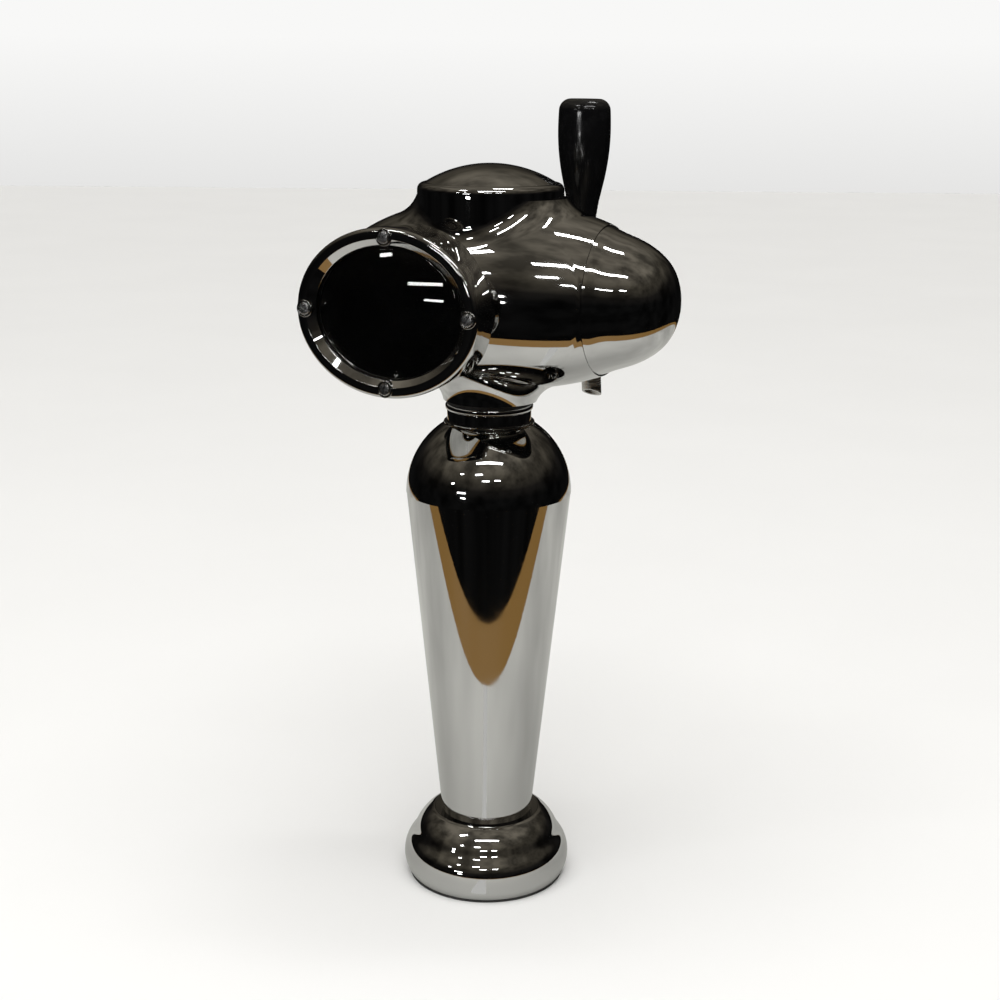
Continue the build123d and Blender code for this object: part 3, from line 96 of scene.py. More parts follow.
def through(a: Pair, b: Pair, c: Pair, count: int = 24) -> np.ndarray:
    """Points of the arc from a through b to c, whose centre is where the bisectors of ab and bc meet.

    Args:
        a: First point.
        b: A point on the arc.
        c: Last point.
        count: Number of points.

    Returns:
        An array of count points.
    """
    pa, pb, pc = (np.array(p, float) for p in (a, b, c))
    sides = 2 * np.array([pb - pa, pc - pb])
    squares = np.array([pb @ pb - pa @ pa, pc @ pc - pb @ pb])
    centre = np.linalg.solve(sides, squares)
    turn = np.unwrap([math.atan2(*(p - centre)[::-1]) for p in (pa, pb, pc)])
    if (turn[1] - turn[0]) * (turn[2] - turn[1]) < 0:
        turn[2] += math.copysign(2 * math.pi, turn[1] - turn[0])
    radius = float(np.linalg.norm(pa - centre))
    return arc(tuple(centre), radius, math.degrees(turn[0]), math.degrees(turn[2]), count)


def rounded(points: list[Triple], closed: bool = False, count: int = 6) -> np.ndarray:
    """A polyline with rounded corners: each corner gives way to an arc that touches both its runs.

    Args:
        points: Corners as (x, y, radius); radius 0 keeps the corner.
        closed: Whether the last corner joins the first.
        count: Points in each rounded corner.

    Returns:
        The points of the rounded line.
    """
    corners = np.array(points, float)
    out: list[np.ndarray] = []
    last = len(corners) - 1
    for index, (x, y, radius) in enumerate(corners):
        here = np.array((x, y))
        if radius <= 0 or (not closed and index in (0, last)):
            out.append(here[None])
            continue
        before = corners[index - 1, :2] - here
        after = corners[(index + 1) % len(corners), :2] - here
        before /= np.linalg.norm(before)
        after /= np.linalg.norm(after)
        half = math.acos(float(np.clip(before @ after, -1, 1))) / 2
        reach = radius / math.tan(half)
        middle = here + (before + after) / np.linalg.norm(before + after) * radius / math.sin(half)
        first, final = here + before * reach - middle, here + after * reach - middle
        sweep = np.linspace(0, 1, count)[:, None]
        angle = math.acos(float(np.clip(first @ final / radius**2, -1, 1)))
        weight_a, weight_b = np.sin((1 - sweep) * angle), np.sin(sweep * angle)
        out.append(middle + (weight_a * first + weight_b * final) / math.sin(angle))
    return np.vstack(out)


def resampled(points: np.ndarray, step: float, closed: bool = False) -> np.ndarray:
    """The same line with points added so that no run is longer than step.

    Args:
        points: The line's points.
        step: The longest run that stays whole.
        closed: Whether the last point joins the first.

    Returns:
        The points, with those that were there among them.
    """
    ring = np.vstack((points, points[:1])) if closed else points
    lengths = np.linalg.norm(np.diff(ring, axis=0), axis=1)
    counts = np.maximum(1, np.ceil(lengths / step).astype(int))
    runs = [a + (b - a) * np.arange(n)[:, None] / n for a, b, n in zip(ring[:-1], ring[1:], counts)]
    return np.vstack(runs) if closed else np.vstack(runs + [ring[-1:]])


def spline(place: np.ndarray, knots: np.ndarray, at: np.ndarray, ends: tuple | None = None) -> np.ndarray:
    """The cubic spline through knots, read at points.

    Its slopes m solve h(i) m(i-1) + 2 (h(i-1) + h(i)) m(i) + h(i-1) m(i+1) = 3 (h(i) s(i-1) + h(i-1) s(i)),
    with h the spans and s the chords' slopes, so the curvature is continuous at each inner knot.

    Args:
        place: The parameter at each knot, rising.
        knots: The knots, one row each.
        at: The parameters to read it at.
        ends: The slopes at both ends. Without them the ends have no curvature.

    Returns:
        The points, one row each.
    """
    h = np.diff(place)
    chord = np.diff(knots, axis=0) / h[:, None]
    size = len(place)
    inner = np.arange(1, size - 1)
    matrix = np.zeros((size, size))
    matrix[inner, inner - 1], matrix[inner, inner + 1] = h[1:], h[:-1]
    matrix[inner, inner] = 2 * (h[:-1] + h[1:])
    if ends is None:
        matrix[0, :2] = matrix[-1, -1:-3:-1] = (2, 1)
        ends = (3 * chord[0], 3 * chord[-1])
    else:
        matrix[0, 0] = matrix[-1, -1] = 1
    right = np.vstack((ends[0], 3 * (h[1:, None] * chord[:-1] + h[:-1, None] * chord[1:]), ends[1]))
    slope = np.linalg.solve(matrix, right)
    k = np.clip(np.searchsorted(place, at, side="right") - 1, 0, size - 2)
    span = h[k][:, None]
    s = (at - place[k])[:, None] / span
    low = (2 * s**3 - 3 * s**2 + 1) * knots[k] + (s**3 - 2 * s**2 + s) * span * slope[k]
    return low + (3 * s**2 - 2 * s**3) * knots[k + 1] + (s**3 - s**2) * span * slope[k + 1]


def turned(
    profile: np.ndarray, way: Way | tuple, centre: Triple, steps: int = 192, half: Pair = (0, 0)
) -> np.ndarray:
    """A profile turned about an axis, or carried round an oval.

    P(i, t) = centre + h_i * axis + (a + r_i) * cos t * u + (b + r_i) * sin t * v.

    Args:
        profile: Points as (r, h). Round an oval, r is the offset from it.
        way: Direction of the axis, or its own (axis, u, v).
        centre: A point on the axis, the origin of h.
        steps: Number of steps round the axis.
        half: Half sizes a and b of the oval.

    Returns:
        A grid of points, (len(profile), steps, 3), in millimetres.
    """
    axis, u, v = (np.array(d, float) for d in (way.value if isinstance(way, Way) else way))
    angle = round_turn(steps)[:, None]
    r, h = profile[:, 0, None, None], profile[:, 1, None, None]
    ring = (half[0] + r) * np.cos(angle) * u + (half[1] + r) * np.sin(angle) * v
    return np.array(centre) + ring + h * axis


@dataclass(frozen=True)
class Grid:
    """Rings of points in millimetres; with rows_join the last ring joins the first."""

    points: np.ndarray
    rows_join: bool = False

    def faces(self, first: int) -> np.ndarray:
        """The quads (i, j), (i, j+1), (i+1, j+1), (i+1, j).

        Args:
            first: The number of the grid's first vertex.

        Returns:
            Four vertex numbers for each face.
        """
        rows, columns = self.points.shape[:2]
        i = np.arange(rows if self.rows_join else rows - 1)[:, None]
        j = np.arange(columns)[None, :]
        i2, j2 = (i + 1) % rows, (j + 1) % columns
        quads = np.stack([i * columns + j, i * columns + j2, i2 * columns + j2, i2 * columns + j], axis=-1)
        return quads.reshape(-1, 4) + first


def linked(name: str, data: bpy.types.ID) -> Piece:
    """Makes an object in the scene.

    Args:
        name: Its name.
        data: Its mesh, camera or light.

    Returns:
        The object.
    """
    made = bpy.data.objects.new(name, data)
    bpy.context.scene.collection.objects.link(made)
    return made


def make_mesh(name: str, grids: list[Grid], sharp: float = 35.0, merge: float = 2e-6) -> Piece:
    """Makes one piece of several grids, with doubles merged, faces outwards and edges sharp over an angle.

    Args:
        name: The piece's name.
        grids: Its surfaces.
        sharp: Angle between faces, in degrees, over which an edge is left hard.
        merge: Distance in metres under which points are one.

    Returns:
        The new object, linked to the scene and placed by its mesh alone.
    """
    vertices = np.vstack([g.points.reshape(-1, 3) for g in grids]) * MM
    starts = np.cumsum([0] + [g.points.shape[0] * g.points.shape[1] for g in grids])
    quads = np.vstack([g.faces(int(s)) for g, s in zip(grids, starts)])
    mesh = bpy.data.meshes.new(name)
    mesh.vertices.add(len(vertices))
    mesh.vertices.foreach_set("co", vertices.astype(np.float32).ravel())
    mesh.loops.add(quads.size)
    mesh.loops.foreach_set("vertex_index", quads.astype(np.int32).ravel())
    mesh.polygons.add(len(quads))
    mesh.polygons.foreach_set("loop_start", np.arange(0, quads.size, 4, dtype=np.int32))
    mesh.update(calc_edges=True)
    work = bmesh.new()
    work.from_mesh(mesh)
    bmesh.ops.remove_doubles(work, verts=work.verts, dist=merge)
    bmesh.ops.dissolve_degenerate(work, edges=work.edges, dist=merge / 4)
    bmesh.ops.recalc_face_normals(work, faces=work.faces)
    work.to_mesh(mesh)
    work.free()
    mesh.validate()
    smooth_by_angle(mesh, sharp)
    return linked(name, mesh)


def turned_piece(
    name: str,
    profile: np.ndarray,
    way: Way = Way.UP,
    centre: Triple = (0, 0, 0),
    steps: int = 192,
    half: Pair = (0, 0),
    closed: bool = True,
    sharp: float = 35.0,
) -> Piece:
    """Makes a piece of one turned profile.

    Args:
        name: The piece's name.
        profile: Its section, as for turned.
        way: Direction of the axis.
        centre: A point on the axis.
        steps: Number of steps round the axis.
        half: Half sizes of the oval that it is carried round.
        closed: Whether the section closes; one that starts and ends on the axis doesn't.
        sharp: Angle in degrees over which an edge is left hard.

    Returns:
        The piece.
    """
    return make_mesh(name, [Grid(turned(profile, way, centre, steps, half), rows_join=closed)], sharp)


def smooth_by_angle(mesh: bpy.types.Mesh, sharp: float) -> None:
    """Shades a mesh smooth, with hard edges between faces that turn by more than an angle.

    Args:
        mesh: The mesh.
        sharp: The angle, in degrees.
    """
    mesh.polygons.foreach_set("use_smooth", np.ones(len(mesh.polygons), dtype=bool))
    mesh.set_sharp_from_angle(angle=math.radians(sharp))
    mesh.update()


def cut(piece: Piece, tool: Piece, sharp: float = 35.0) -> None:
    """Takes the tool's solid out of the piece and removes the tool.

    Args:
        piece: The piece.
        tool: The solid to take out.
        sharp: Angle in degrees over which an edge is left hard.
    """
    modifier = piece.modifiers.new("cut", "BOOLEAN")
    modifier.operation = "DIFFERENCE"
    modifier.solver = "EXACT"
    modifier.object = tool
    settle(piece)
    bpy.data.objects.remove(tool)
    smooth_by_angle(piece.data, sharp)


def settle(piece: Piece) -> None:
    """Applies all modifiers of a piece to its mesh.

    Args:
        piece: The piece.
    """
    graph = bpy.context.evaluated_depsgraph_get()
    mesh = bpy.data.meshes.new_from_object(piece.evaluated_get(graph))
    piece.modifiers.clear()
    old = piece.data
    piece.data = mesh
    bpy.data.meshes.remove(old)


# ---------------------------------------------------------------- finishes
@dataclass
class Nodes:
    """A short hand for one material's node tree."""

    tree: bpy.types.NodeTree

    def add(self, kind: str, **values: object) -> bpy.types.Node:
        """Adds a node and sets its inputs, or its properties where no input has that name.

        Args:
            kind: The node's type name.
            values: Values by socket name (spaces as underscores) or by property name.

        Returns:
            The node.
        """
        node = self.tree.nodes.new(kind)
        for key, value in values.items():
            socket = node.inputs.get(key.replace("_", " "))
            if socket is not None:
                socket.default_value = value
            else:
                setattr(node, key, value)
        return node

    def join(self, source: Socket, target: Socket) -> None:
        """Links one socket to another."""
        self.tree.links.new(source, target)

    def vary(self, node: bpy.types.Node, **sources: Socket) -> None:
        """Links sources to the node's inputs of those names (spaces as underscores)."""
        for key, source in sources.items():
            self.join(source, node.inputs[key.replace("_", " ")])

    def place(self, scale: Triple = (1, 1, 1)) -> Socket:
        """Object coordinates in metres.

        Args:
            scale: How much each axis is stretched.

        Returns:
            The coordinates.
        """
        mapping = self.add("ShaderNodeMapping", Scale=scale)
        self.vary(mapping, Vector=self.add("ShaderNodeTexCoord").outputs["Object"])
        return mapping.outputs["Vector"]

    def noise(
        self, scale: float, detail: float = 4, stretch: Triple = (1, 1, 1), rough: float = 0.5
    ) -> Socket:
        """A noise of that many grains a metre.

        Args:
            scale: Grains a metre.
            detail: Octaves.
            stretch: Scale along each axis.
            rough: Weight of the finer octaves.

        Returns:
            The noise's value.
        """
        node = self.add("ShaderNodeTexNoise", Scale=scale, Detail=detail, Roughness=rough)
        self.vary(node, Vector=self.place(stretch))
        return node.outputs["Fac"]

    def ramp(self, source: Socket, low: float, high: float, to_low: float = 0, to_high: float = 1) -> Socket:
        """Maps a span of values to another, held at its ends.

        Args:
            source: The value.
            low: The span's low end.
            high: Its high end.
            to_low: What the low end becomes.
            to_high: What the high end becomes.

        Returns:
            The mapped value.
        """
        node = self.add("ShaderNodeMapRange", From_Min=low, From_Max=high, To_Min=to_low, To_Max=to_high)
        self.vary(node, Value=source)
        return node.outputs["Result"]

    def blend(self, factor: Socket, first: Triple, second: Triple) -> Socket:
        """Mixes two colours.

        Args:
            factor: The share of the second one.
            first: A colour.
            second: Another colour.

        Returns:
            The mixed colour.
        """
        node = self.add("ShaderNodeMix", data_type="RGBA")
        node.inputs[6].default_value = (*first, 1)
        node.inputs[7].default_value = (*second, 1)
        self.join(factor, node.inputs[0])
        return node.outputs[2]

    def bump(self, height: Socket, depth: float, strength: float = 0.5) -> Socket:
        """A bump.

        Args:
            height: Its pattern.
            depth: Its depth in metres.
            strength: Its share.

        Returns:
            The bumped normal.
        """
        node = self.add("ShaderNodeBump", Strength=strength, Distance=depth)
        self.vary(node, Height=height)
        return node.outputs["Normal"]

    def shader(self, tint: Triple, **values: object) -> bpy.types.Node:
        """The principled shader, linked to the output.

        Args:
            tint: Its base colour.
            values: Its other constant values, by socket name.

        Returns:
            The shader's node.
        """
        node = self.add("ShaderNodeBsdfPrincipled", Base_Color=(*tint, 1), **values)
        self.vary(self.add("ShaderNodeOutputMaterial"), Surface=node.outputs["BSDF"])
        return node


@dataclass(frozen=True)
class Finish:
    """A surface finish: its node material is made once, on first use.

    The constant values sit on the shader's own sockets; only what varies over the surface is linked.
    """

    name: str
    slot: str
    tint: Triple

    def material(self) -> bpy.types.Material:
        """The finish's material.

        Returns:
            The material, new or found.
        """
        name = f"finish_{self.name}"
        found = bpy.data.materials.get(name)
        if found is None:
            found = bpy.data.materials.new(name)
            found.use_nodes = True
            found.node_tree.nodes.clear()
            self.build(Nodes(found.node_tree))
        return found

    def shade(self, times: float, plus: float = 0.0) -> Triple:
        """The tint made darker or lighter."""
        return tuple(plus + times * c for c in self.tint)

    def build(self, nodes: Nodes) -> None:
        """Makes the finish's nodes.

        Args:
            nodes: The material\'s nodes.
        """
        raise NotImplementedError


@dataclass(frozen=True)
class MirrorChrome(Finish):
    """Chromium plate polished to a mirror: a faint haze of wiping marks, and a very shallow orange peel."""

    name: str = "mirror_chrome"
    slot: str = "chrome_plate"
    tint: Triple = (0.60, 0.60, 0.595)
    shine: Pair = (0.025, 0.075)
    scratch: float = 0.05

    def build(self, nodes: Nodes) -> None:
        """Makes the nodes: roughness from cloudy wipe marks and fine scratches, bump from a soft ripple.

        Args:
            nodes: The material\'s nodes.
        """
        cloud = nodes.ramp(nodes.noise(38, 5, rough=0.6), 0.42, 0.78, *self.shine)
        lines = nodes.ramp(nodes.noise(900, 3, (1, 0.12, 0.05)), 0.66, 0.82, 0.0, self.scratch)
        total = nodes.add("ShaderNodeMath", operation="ADD")
        nodes.join(cloud, total.inputs[0])
        nodes.join(lines, total.inputs[1])
        nodes.vary(
            nodes.shader(self.tint, Metallic=1.0, Roughness=self.shine[0]),
            Roughness=total.outputs[0],
            Base_Color=nodes.blend(nodes.noise(14, 3), self.shade(0.97), self.tint),
            Normal=nodes.bump(nodes.noise(95, 2), 0.00002),
        )


@dataclass(frozen=True)
class TurnedMetal(Finish):
    """Machined metal with fine tool marks round its axis."""

    name: str = "turned_steel"
    slot: str = "stainless"
    tint: Triple = (0.56, 0.55, 0.53)
    marks: Triple = (1, 1, 1)
    shine: Pair = (0.14, 0.3)

    def build(self, nodes: Nodes) -> None:
        """Makes the nodes: stretched noise drives roughness and a shallow bump.

        Args:
            nodes: The material\'s nodes.
        """
        line = nodes.noise(1400, 3, self.marks)
        nodes.vary(
            nodes.shader(self.tint, Metallic=1.0),
            Roughness=nodes.ramp(line, 0.3, 0.7, *self.shine),
            Base_Color=nodes.blend(nodes.noise(60), self.shade(0.88), self.tint),
            Normal=nodes.bump(line, 0.00001, 0.3),
        )


@dataclass(frozen=True)
class GlossBlack(Finish):
    """Moulded black plastic with a deep gloss, light wear and a trace of flow marks."""

    name: str = "gloss_black"
    slot: str = "handle_black"
    tint: Triple = (0.006, 0.006, 0.0065)
    shine: Pair = (0.1, 0.26)

    def build(self, nodes: Nodes) -> None:
        """Makes the nodes: rubbed patches are rougher and a little greyer.

        Args:
            nodes: The material\'s nodes.
        """
        rub = nodes.noise(85, 5, rough=0.65)
        nodes.vary(
            nodes.shader(self.tint, IOR=1.5, Coat_Weight=0.35, Coat_Roughness=0.05),
            Roughness=nodes.ramp(rub, 0.4, 0.75, *self.shine),
            Base_Color=nodes.blend(nodes.ramp(rub, 0.55, 0.85), self.tint, self.shade(1.0, 0.012)),
            Normal=nodes.bump(nodes.noise(320, 3), 0.00003),
        )


@dataclass(frozen=True)
class SoftBlack(Finish):
    """Matt black rubber or moulding with a fine grain."""

    name: str = "black_rubber"
    slot: str = "rubber_black"
    tint: Triple = (0.018, 0.018, 0.018)
    shine: Pair = (0.5, 0.75)

    def build(self, nodes: Nodes) -> None:
        """Makes the nodes: grain bump and dusty tone.

        Args:
            nodes: The material\'s nodes.
        """
        dust = nodes.ramp(nodes.noise(70, 5, rough=0.6), 0.45, 0.8)
        grain = nodes.noise(2600, 2)
        nodes.vary(
            nodes.shader(self.tint, IOR=1.5),
            Roughness=nodes.ramp(grain, 0.35, 0.65, *self.shine),
            Base_Color=nodes.blend(dust, self.tint, self.shade(1.4, 0.02)),
            Normal=nodes.bump(grain, 0.00005),
        )


@dataclass(frozen=True)
class PaleMoulding(Finish):
    """White or milky plastic, slightly mottled; depth is the share of light that goes under its skin."""

    name: str = "white_moulding"
    slot: str = "white_moulding"
    tint: Triple = (0.76, 0.75, 0.71)
    shine: Pair = (0.28, 0.45)
    depth: float = 0.0

    def build(self, nodes: Nodes) -> None:
        """Makes the nodes: mottled tone, soft scattering and a fine grain.

        Args:
            nodes: The material\'s nodes.
        """
        mottle = nodes.noise(160)
        nodes.vary(
            nodes.shader(self.tint, IOR=1.5, Subsurface_Weight=self.depth, Subsurface_Scale=0.002),
            Roughness=nodes.ramp(mottle, 0.3, 0.7, *self.shine),
            Base_Color=nodes.blend(mottle, self.shade(0.9), self.tint),
            Normal=nodes.bump(nodes.noise(1800, 2), 0.00003),
        )


@dataclass(frozen=True)
class CutFoam(Finish):
    """Cut rigid foam with open cells."""

    name: str = "cut_foam"
    slot: str = "foam"
    tint: Triple = (0.74, 0.66, 0.42)

    def build(self, nodes: Nodes) -> None:
        """Makes the nodes: cells from a cell pattern, as tone and as bump.

        Args:
            nodes: The material\'s nodes.
        """
        cells = nodes.add("ShaderNodeTexVoronoi", Scale=900)
        nodes.vary(cells, Vector=nodes.place())
        depth = cells.outputs["Distance"]
        nodes.vary(
            nodes.shader(self.tint, Roughness=0.85, IOR=1.4),
            Base_Color=nodes.blend(nodes.ramp(depth, 0.1, 0.6, 1, 0), self.shade(0.6), self.tint),
            Normal=nodes.bump(depth, 0.0003, 0.8),
        )


@dataclass(frozen=True)
class ClearLens(Finish):
    """Clear cast lens with a few hairline scratches."""

    name: str = "clear_lens"
    slot: str = "clear_lens"
    tint: Triple = (0.97, 0.98, 0.98)

    def build(self, nodes: Nodes) -> None:
        """Makes the nodes: clear transmission, with hairlines in the roughness.

        Args:
            nodes: The material\'s nodes.
        """
        nodes.vary(
            nodes.shader(self.tint, Transmission_Weight=1.0, IOR=1.49, Roughness=0.01),
            Roughness=nodes.ramp(nodes.noise(700, 2, (1, 1, 0.06)), 0.68, 0.8, 0.008, 0.06),
            Normal=nodes.bump(nodes.noise(30, 2), 0.00002, 0.4),
        )


@dataclass(frozen=True)
class StagePaint(Finish):
    """Plain paint of the studio's floor and of what the metal shows as a table."""

    name: str = "studio_floor"
    slot: str = ""
    tint: Triple = (0.86, 0.86, 0.85)
    roughness: float = 0.6
    grain: float = 3.0
    dim: float = 0.985

    def build(self, nodes: Nodes) -> None:
        """Makes the nodes: a plain matt colour with a soft mottle.

        Args:
            nodes: The material\'s nodes.
        """
        mottle = nodes.ramp(nodes.noise(self.grain, 3), 0.35, 0.65)
        nodes.vary(
            nodes.shader(self.tint, Roughness=self.roughness, IOR=1.3),
            Base_Color=nodes.blend(mottle, self.shade(self.dim), self.tint),
        )


@dataclass(frozen=True)
class Glow(Finish):
    """Glowing panels: the studio's surround, which stands for lit paper and is a little darker at its foot,
    where it meets the floor, as painted shade; also a painted strip of light on the table.
    """

    name: str = "studio_surround"
    slot: str = ""
    tint: Triple = (0.94, 0.938, 0.93)
    shaded_foot_share: float = 1.0
    full_z: float = 0.6

    def build(self, nodes: Nodes) -> None:
        """Makes the nodes: emitted light, which grows from its share at the foot to full at a height; the
        dimmer foot is painted shade.

        Args:
            nodes: The material\'s nodes.
        """
        place = nodes.add("ShaderNodeSeparateXYZ")
        nodes.vary(place, Vector=nodes.add("ShaderNodeTexCoord").outputs["Object"])
        light = nodes.add("ShaderNodeEmission", Color=(*self.tint, 1))
        nodes.vary(light, Strength=nodes.ramp(place.outputs["Z"], 0.0, self.full_z, self.shaded_foot_share))
        nodes.vary(nodes.add("ShaderNodeOutputMaterial"), Surface=light.outputs["Emission"])


CHROME = MirrorChrome()
STEEL = TurnedMetal(marks=(1, 0.05, 1))
STEEL_UPRIGHT = TurnedMetal("turned_steel_upright", marks=(0.05, 0.05, 1))
SCREW_STEEL = TurnedMetal("screw_steel", "screw_steel", (0.5, 0.5, 0.5), shine=(0.16, 0.34))
BRASS = TurnedMetal("plain_brass", "brass_plain", (0.72, 0.5, 0.2), marks=(0.1, 0.1, 1), shine=(0.2, 0.4))
RUBBER = SoftBlack()
BLACK_MOULDING = SoftBlack("black_moulding", "black_moulding", (0.02, 0.02, 0.021), shine=(0.35, 0.55))
HANDLE_BLACK = GlossBlack()
BADGE_BLACK = GlossBlack("badge_black", "badge_black", (0.004, 0.004, 0.0045), shine=(0.12, 0.2))
WHITE = PaleMoulding()
LINE = PaleMoulding("milky_line", "line_clear", (0.66, 0.68, 0.64), shine=(0.18, 0.3), depth=0.4)
FOAM = CutFoam()
LENS = ClearLens()


def dress(piece: Piece, finish: Finish, *nodes: str, body: str = "tower") -> None:
    """Gives a new piece its finish, its body and the CAD nodes that it stands for.

    Args:
        piece: The piece.
        finish: Its finish.
        nodes: The CAD nodes that it replaces.
        body: The body that it rides on.
    """
    piece.data.materials.clear()
    piece.data.materials.append(finish.material())
    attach(piece, body)
    if nodes:
        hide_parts(*nodes)
    LOG.info("%s: %d faces, %s", piece.name, len(piece.data.polygons), finish.name)


class ChromePart:
    """A chromed piece that stands for one CAD node."""

    node = ""

    def build(self) -> Piece:
        """Makes the piece."""
        raise NotImplementedError

    def dress(self) -> None:
        """Chrome for the piece."""
        dress(self.build(), CHROME, self.node)


# ---------------------------------------------------------------- foot and column
@dataclass
class Foot(ChromePart):
    """Dished bell foot: a bulged rim, a crease, a round bell and a lip round the column."""

    node = "foot_flange"
    hollow_r: float = 35.7
    base: Pair = (49.3, 1.6)
    bulge: Pair = (53.0, 14.5)
    waist: Pair = (46.8, 28.5)
    bell: Pair = (42.3, 37.0)
    lip: Pair = (34.5, 44.2)
    lip_centre: Pair = (33.7, 43.55)
    lip_round: float = 0.65
    lip_low_z: float = 43.6
    seat_z: float = 42.5
    socket_r: float = 28.8
    tail_r: float = 26.6
    roof_z: float = 32.5
    ease: float = 3.5
    hole_pcd: float = 85.0
    hole_r: float = 2.6
    hole_depth: float = 14.0
    hole_tip: float = 1.2

    def outline(self) -> np.ndarray:
        """The outside: two arcs, with the crease between them eased by its neighbours' mean.

        Returns:
            The points, from the base to the lip.
        """
        rim = through(self.base, self.bulge, self.waist, 60)
        line = resampled(np.vstack((rim, through(self.waist, self.bell, self.lip, 40)[1:])), 0.6)
        near = np.exp(-(((line[:, 1] - self.waist[1]) / self.ease) ** 2))[1:-1, None]
        for _ in range(40):
            line[1:-1] += 0.5 * near * (0.5 * (line[:-2] + line[2:]) - line[1:-1])
        return line

    def build(self) -> Piece:
        """Turns the foot's closed profile about the column's axis and drills its fixing holes.

        Returns:
            The piece.
        """
        socket, tail = (self.socket_r, self.seat_z), (self.tail_r, self.seat_z)
        profile = np.vstack(
            (
                [(self.hollow_r, self.base[1]), self.base],
                self.outline()[1:-2],
                arc(self.lip_centre, self.lip_round, 60, 150, 6),
                [(self.socket_r, self.lip_low_z), socket, tail],
                [(self.tail_r, self.roof_z), (self.hollow_r, self.roof_z)],
            )
        )
        foot = turned_piece("foot_bell", resampled(profile, 3.0, closed=True), steps=240, sharp=22)
        end = self.hole_depth + self.hole_tip
        bore = np.array([(0, -1), (self.hole_r, -1), (self.hole_r, self.hole_depth), (0, end)])
        spots = [(x, y, self.base[1]) for x, y in arc((0, 0), self.hole_pcd / 2, 45, 315, 4)]
        cut(foot, make_mesh("drill", [Grid(turned(bore, Way.UP, spot, 24)) for spot in spots]), 22)
        return foot


@dataclass
class Column(ChromePart):
    """Tapered column with a crease, a round shoulder, a bead and a plain neck."""

    node = "column_shell"
    foot: Pair = (28.6, 42.5)
    crease: Pair = (50.6, 255.0)
    shoulder_r: float = 50.8
    bead_r: float = 27.2
    bead_rise: float = 0.6
    neck_r: float = 25.7
    neck_z: Triple = (297.904, 299.504, 306.504)
    bore_r: float = 21.5
    seat_drop: float = 6.0
    tail: Pair = (26.4, 26.5)
    tail_step: float = 2.5
    inner_foot: Pair = (0.52, 5.0)
    neck_round: float = 0.35
    wall: float = 2.5

    def on_shoulder(self, radius: float, angle: float) -> Pair:
        """The point of the shoulder's circle at that angle, in radians, over the crease."""
        return (radius * math.cos(angle), self.crease[1] + radius * math.sin(angle))

    def build(self) -> Piece:
        """Turns the column's closed profile: outside up, through the neck, and the inside down.

        Returns:
            The piece.
        """
        start, bead_top, top = self.neck_z
        inner, tail_in = self.shoulder_r - self.wall, self.tail[0] - self.wall
        seat_z = start - self.seat_drop
        seat_r = math.sqrt(inner**2 - (seat_z - self.crease[1]) ** 2)
        foot, crease = np.array(self.foot), np.array(self.crease)
        bead = (self.bead_r + self.bead_rise, (start + bead_top) / 2)
        outer_mid = self.on_shoulder(self.shoulder_r, math.radians(30))
        inner_mid = self.on_shoulder(inner, 0.4)
        neck = [(self.neck_r, bead_top, 0), (self.neck_r, bead_top + 0.3, 0)]
        profile = np.vstack(
            (
                [(tail_in, self.tail[1]), self.tail, (self.tail[0], foot[1]), foot],
                resampled(np.array([foot, crease]), 6.0)[1:-1],
                crease + (foot - crease) * [[0.0007], [0.0001]],
                through((self.shoulder_r, crease[1]), outer_mid, (self.bead_r, start), 60),
                through((self.bead_r, start), bead, (self.bead_r, bead_top), 10)[1:],
                rounded([*neck, (self.neck_r, top, self.neck_round), (self.bore_r, top, 0)]),
                [(self.bore_r, seat_z), (seat_r, seat_z)],
                through((seat_r, seat_z), inner_mid, (inner, crease[1]), 24)[1:],
                [crease - (self.wall, 0), foot - (self.wall, 0) + self.inner_foot],
                [(tail_in, foot[1] + self.tail_step)],
            )
        )
        return turned_piece("column_cone", profile, steps=256, sharp=14)


@dataclass
class NeckRing(ChromePart):
    """Rounded ring between the column's neck and the head's collar."""

    node = "neck_ring"
    inner_r: float = 21.5
    outer_r: float = 26.8
    low_z: float = 306.554
    high_z: float = 310.154
    edge: float = 1.3

    def build(self) -> Piece:
        """Turns the ring.

        Returns:
            The piece.
        """
        outer = [(self.outer_r, self.low_z, self.edge), (self.outer_r, self.high_z, self.edge)]
        inner = [(self.inner_r, self.low_z, 0), (self.inner_r, self.high_z, 0)]
        profile = rounded([inner[0], *outer, inner[1]], closed=True, count=10)
        return turned_piece("neck_band", profile, steps=200)


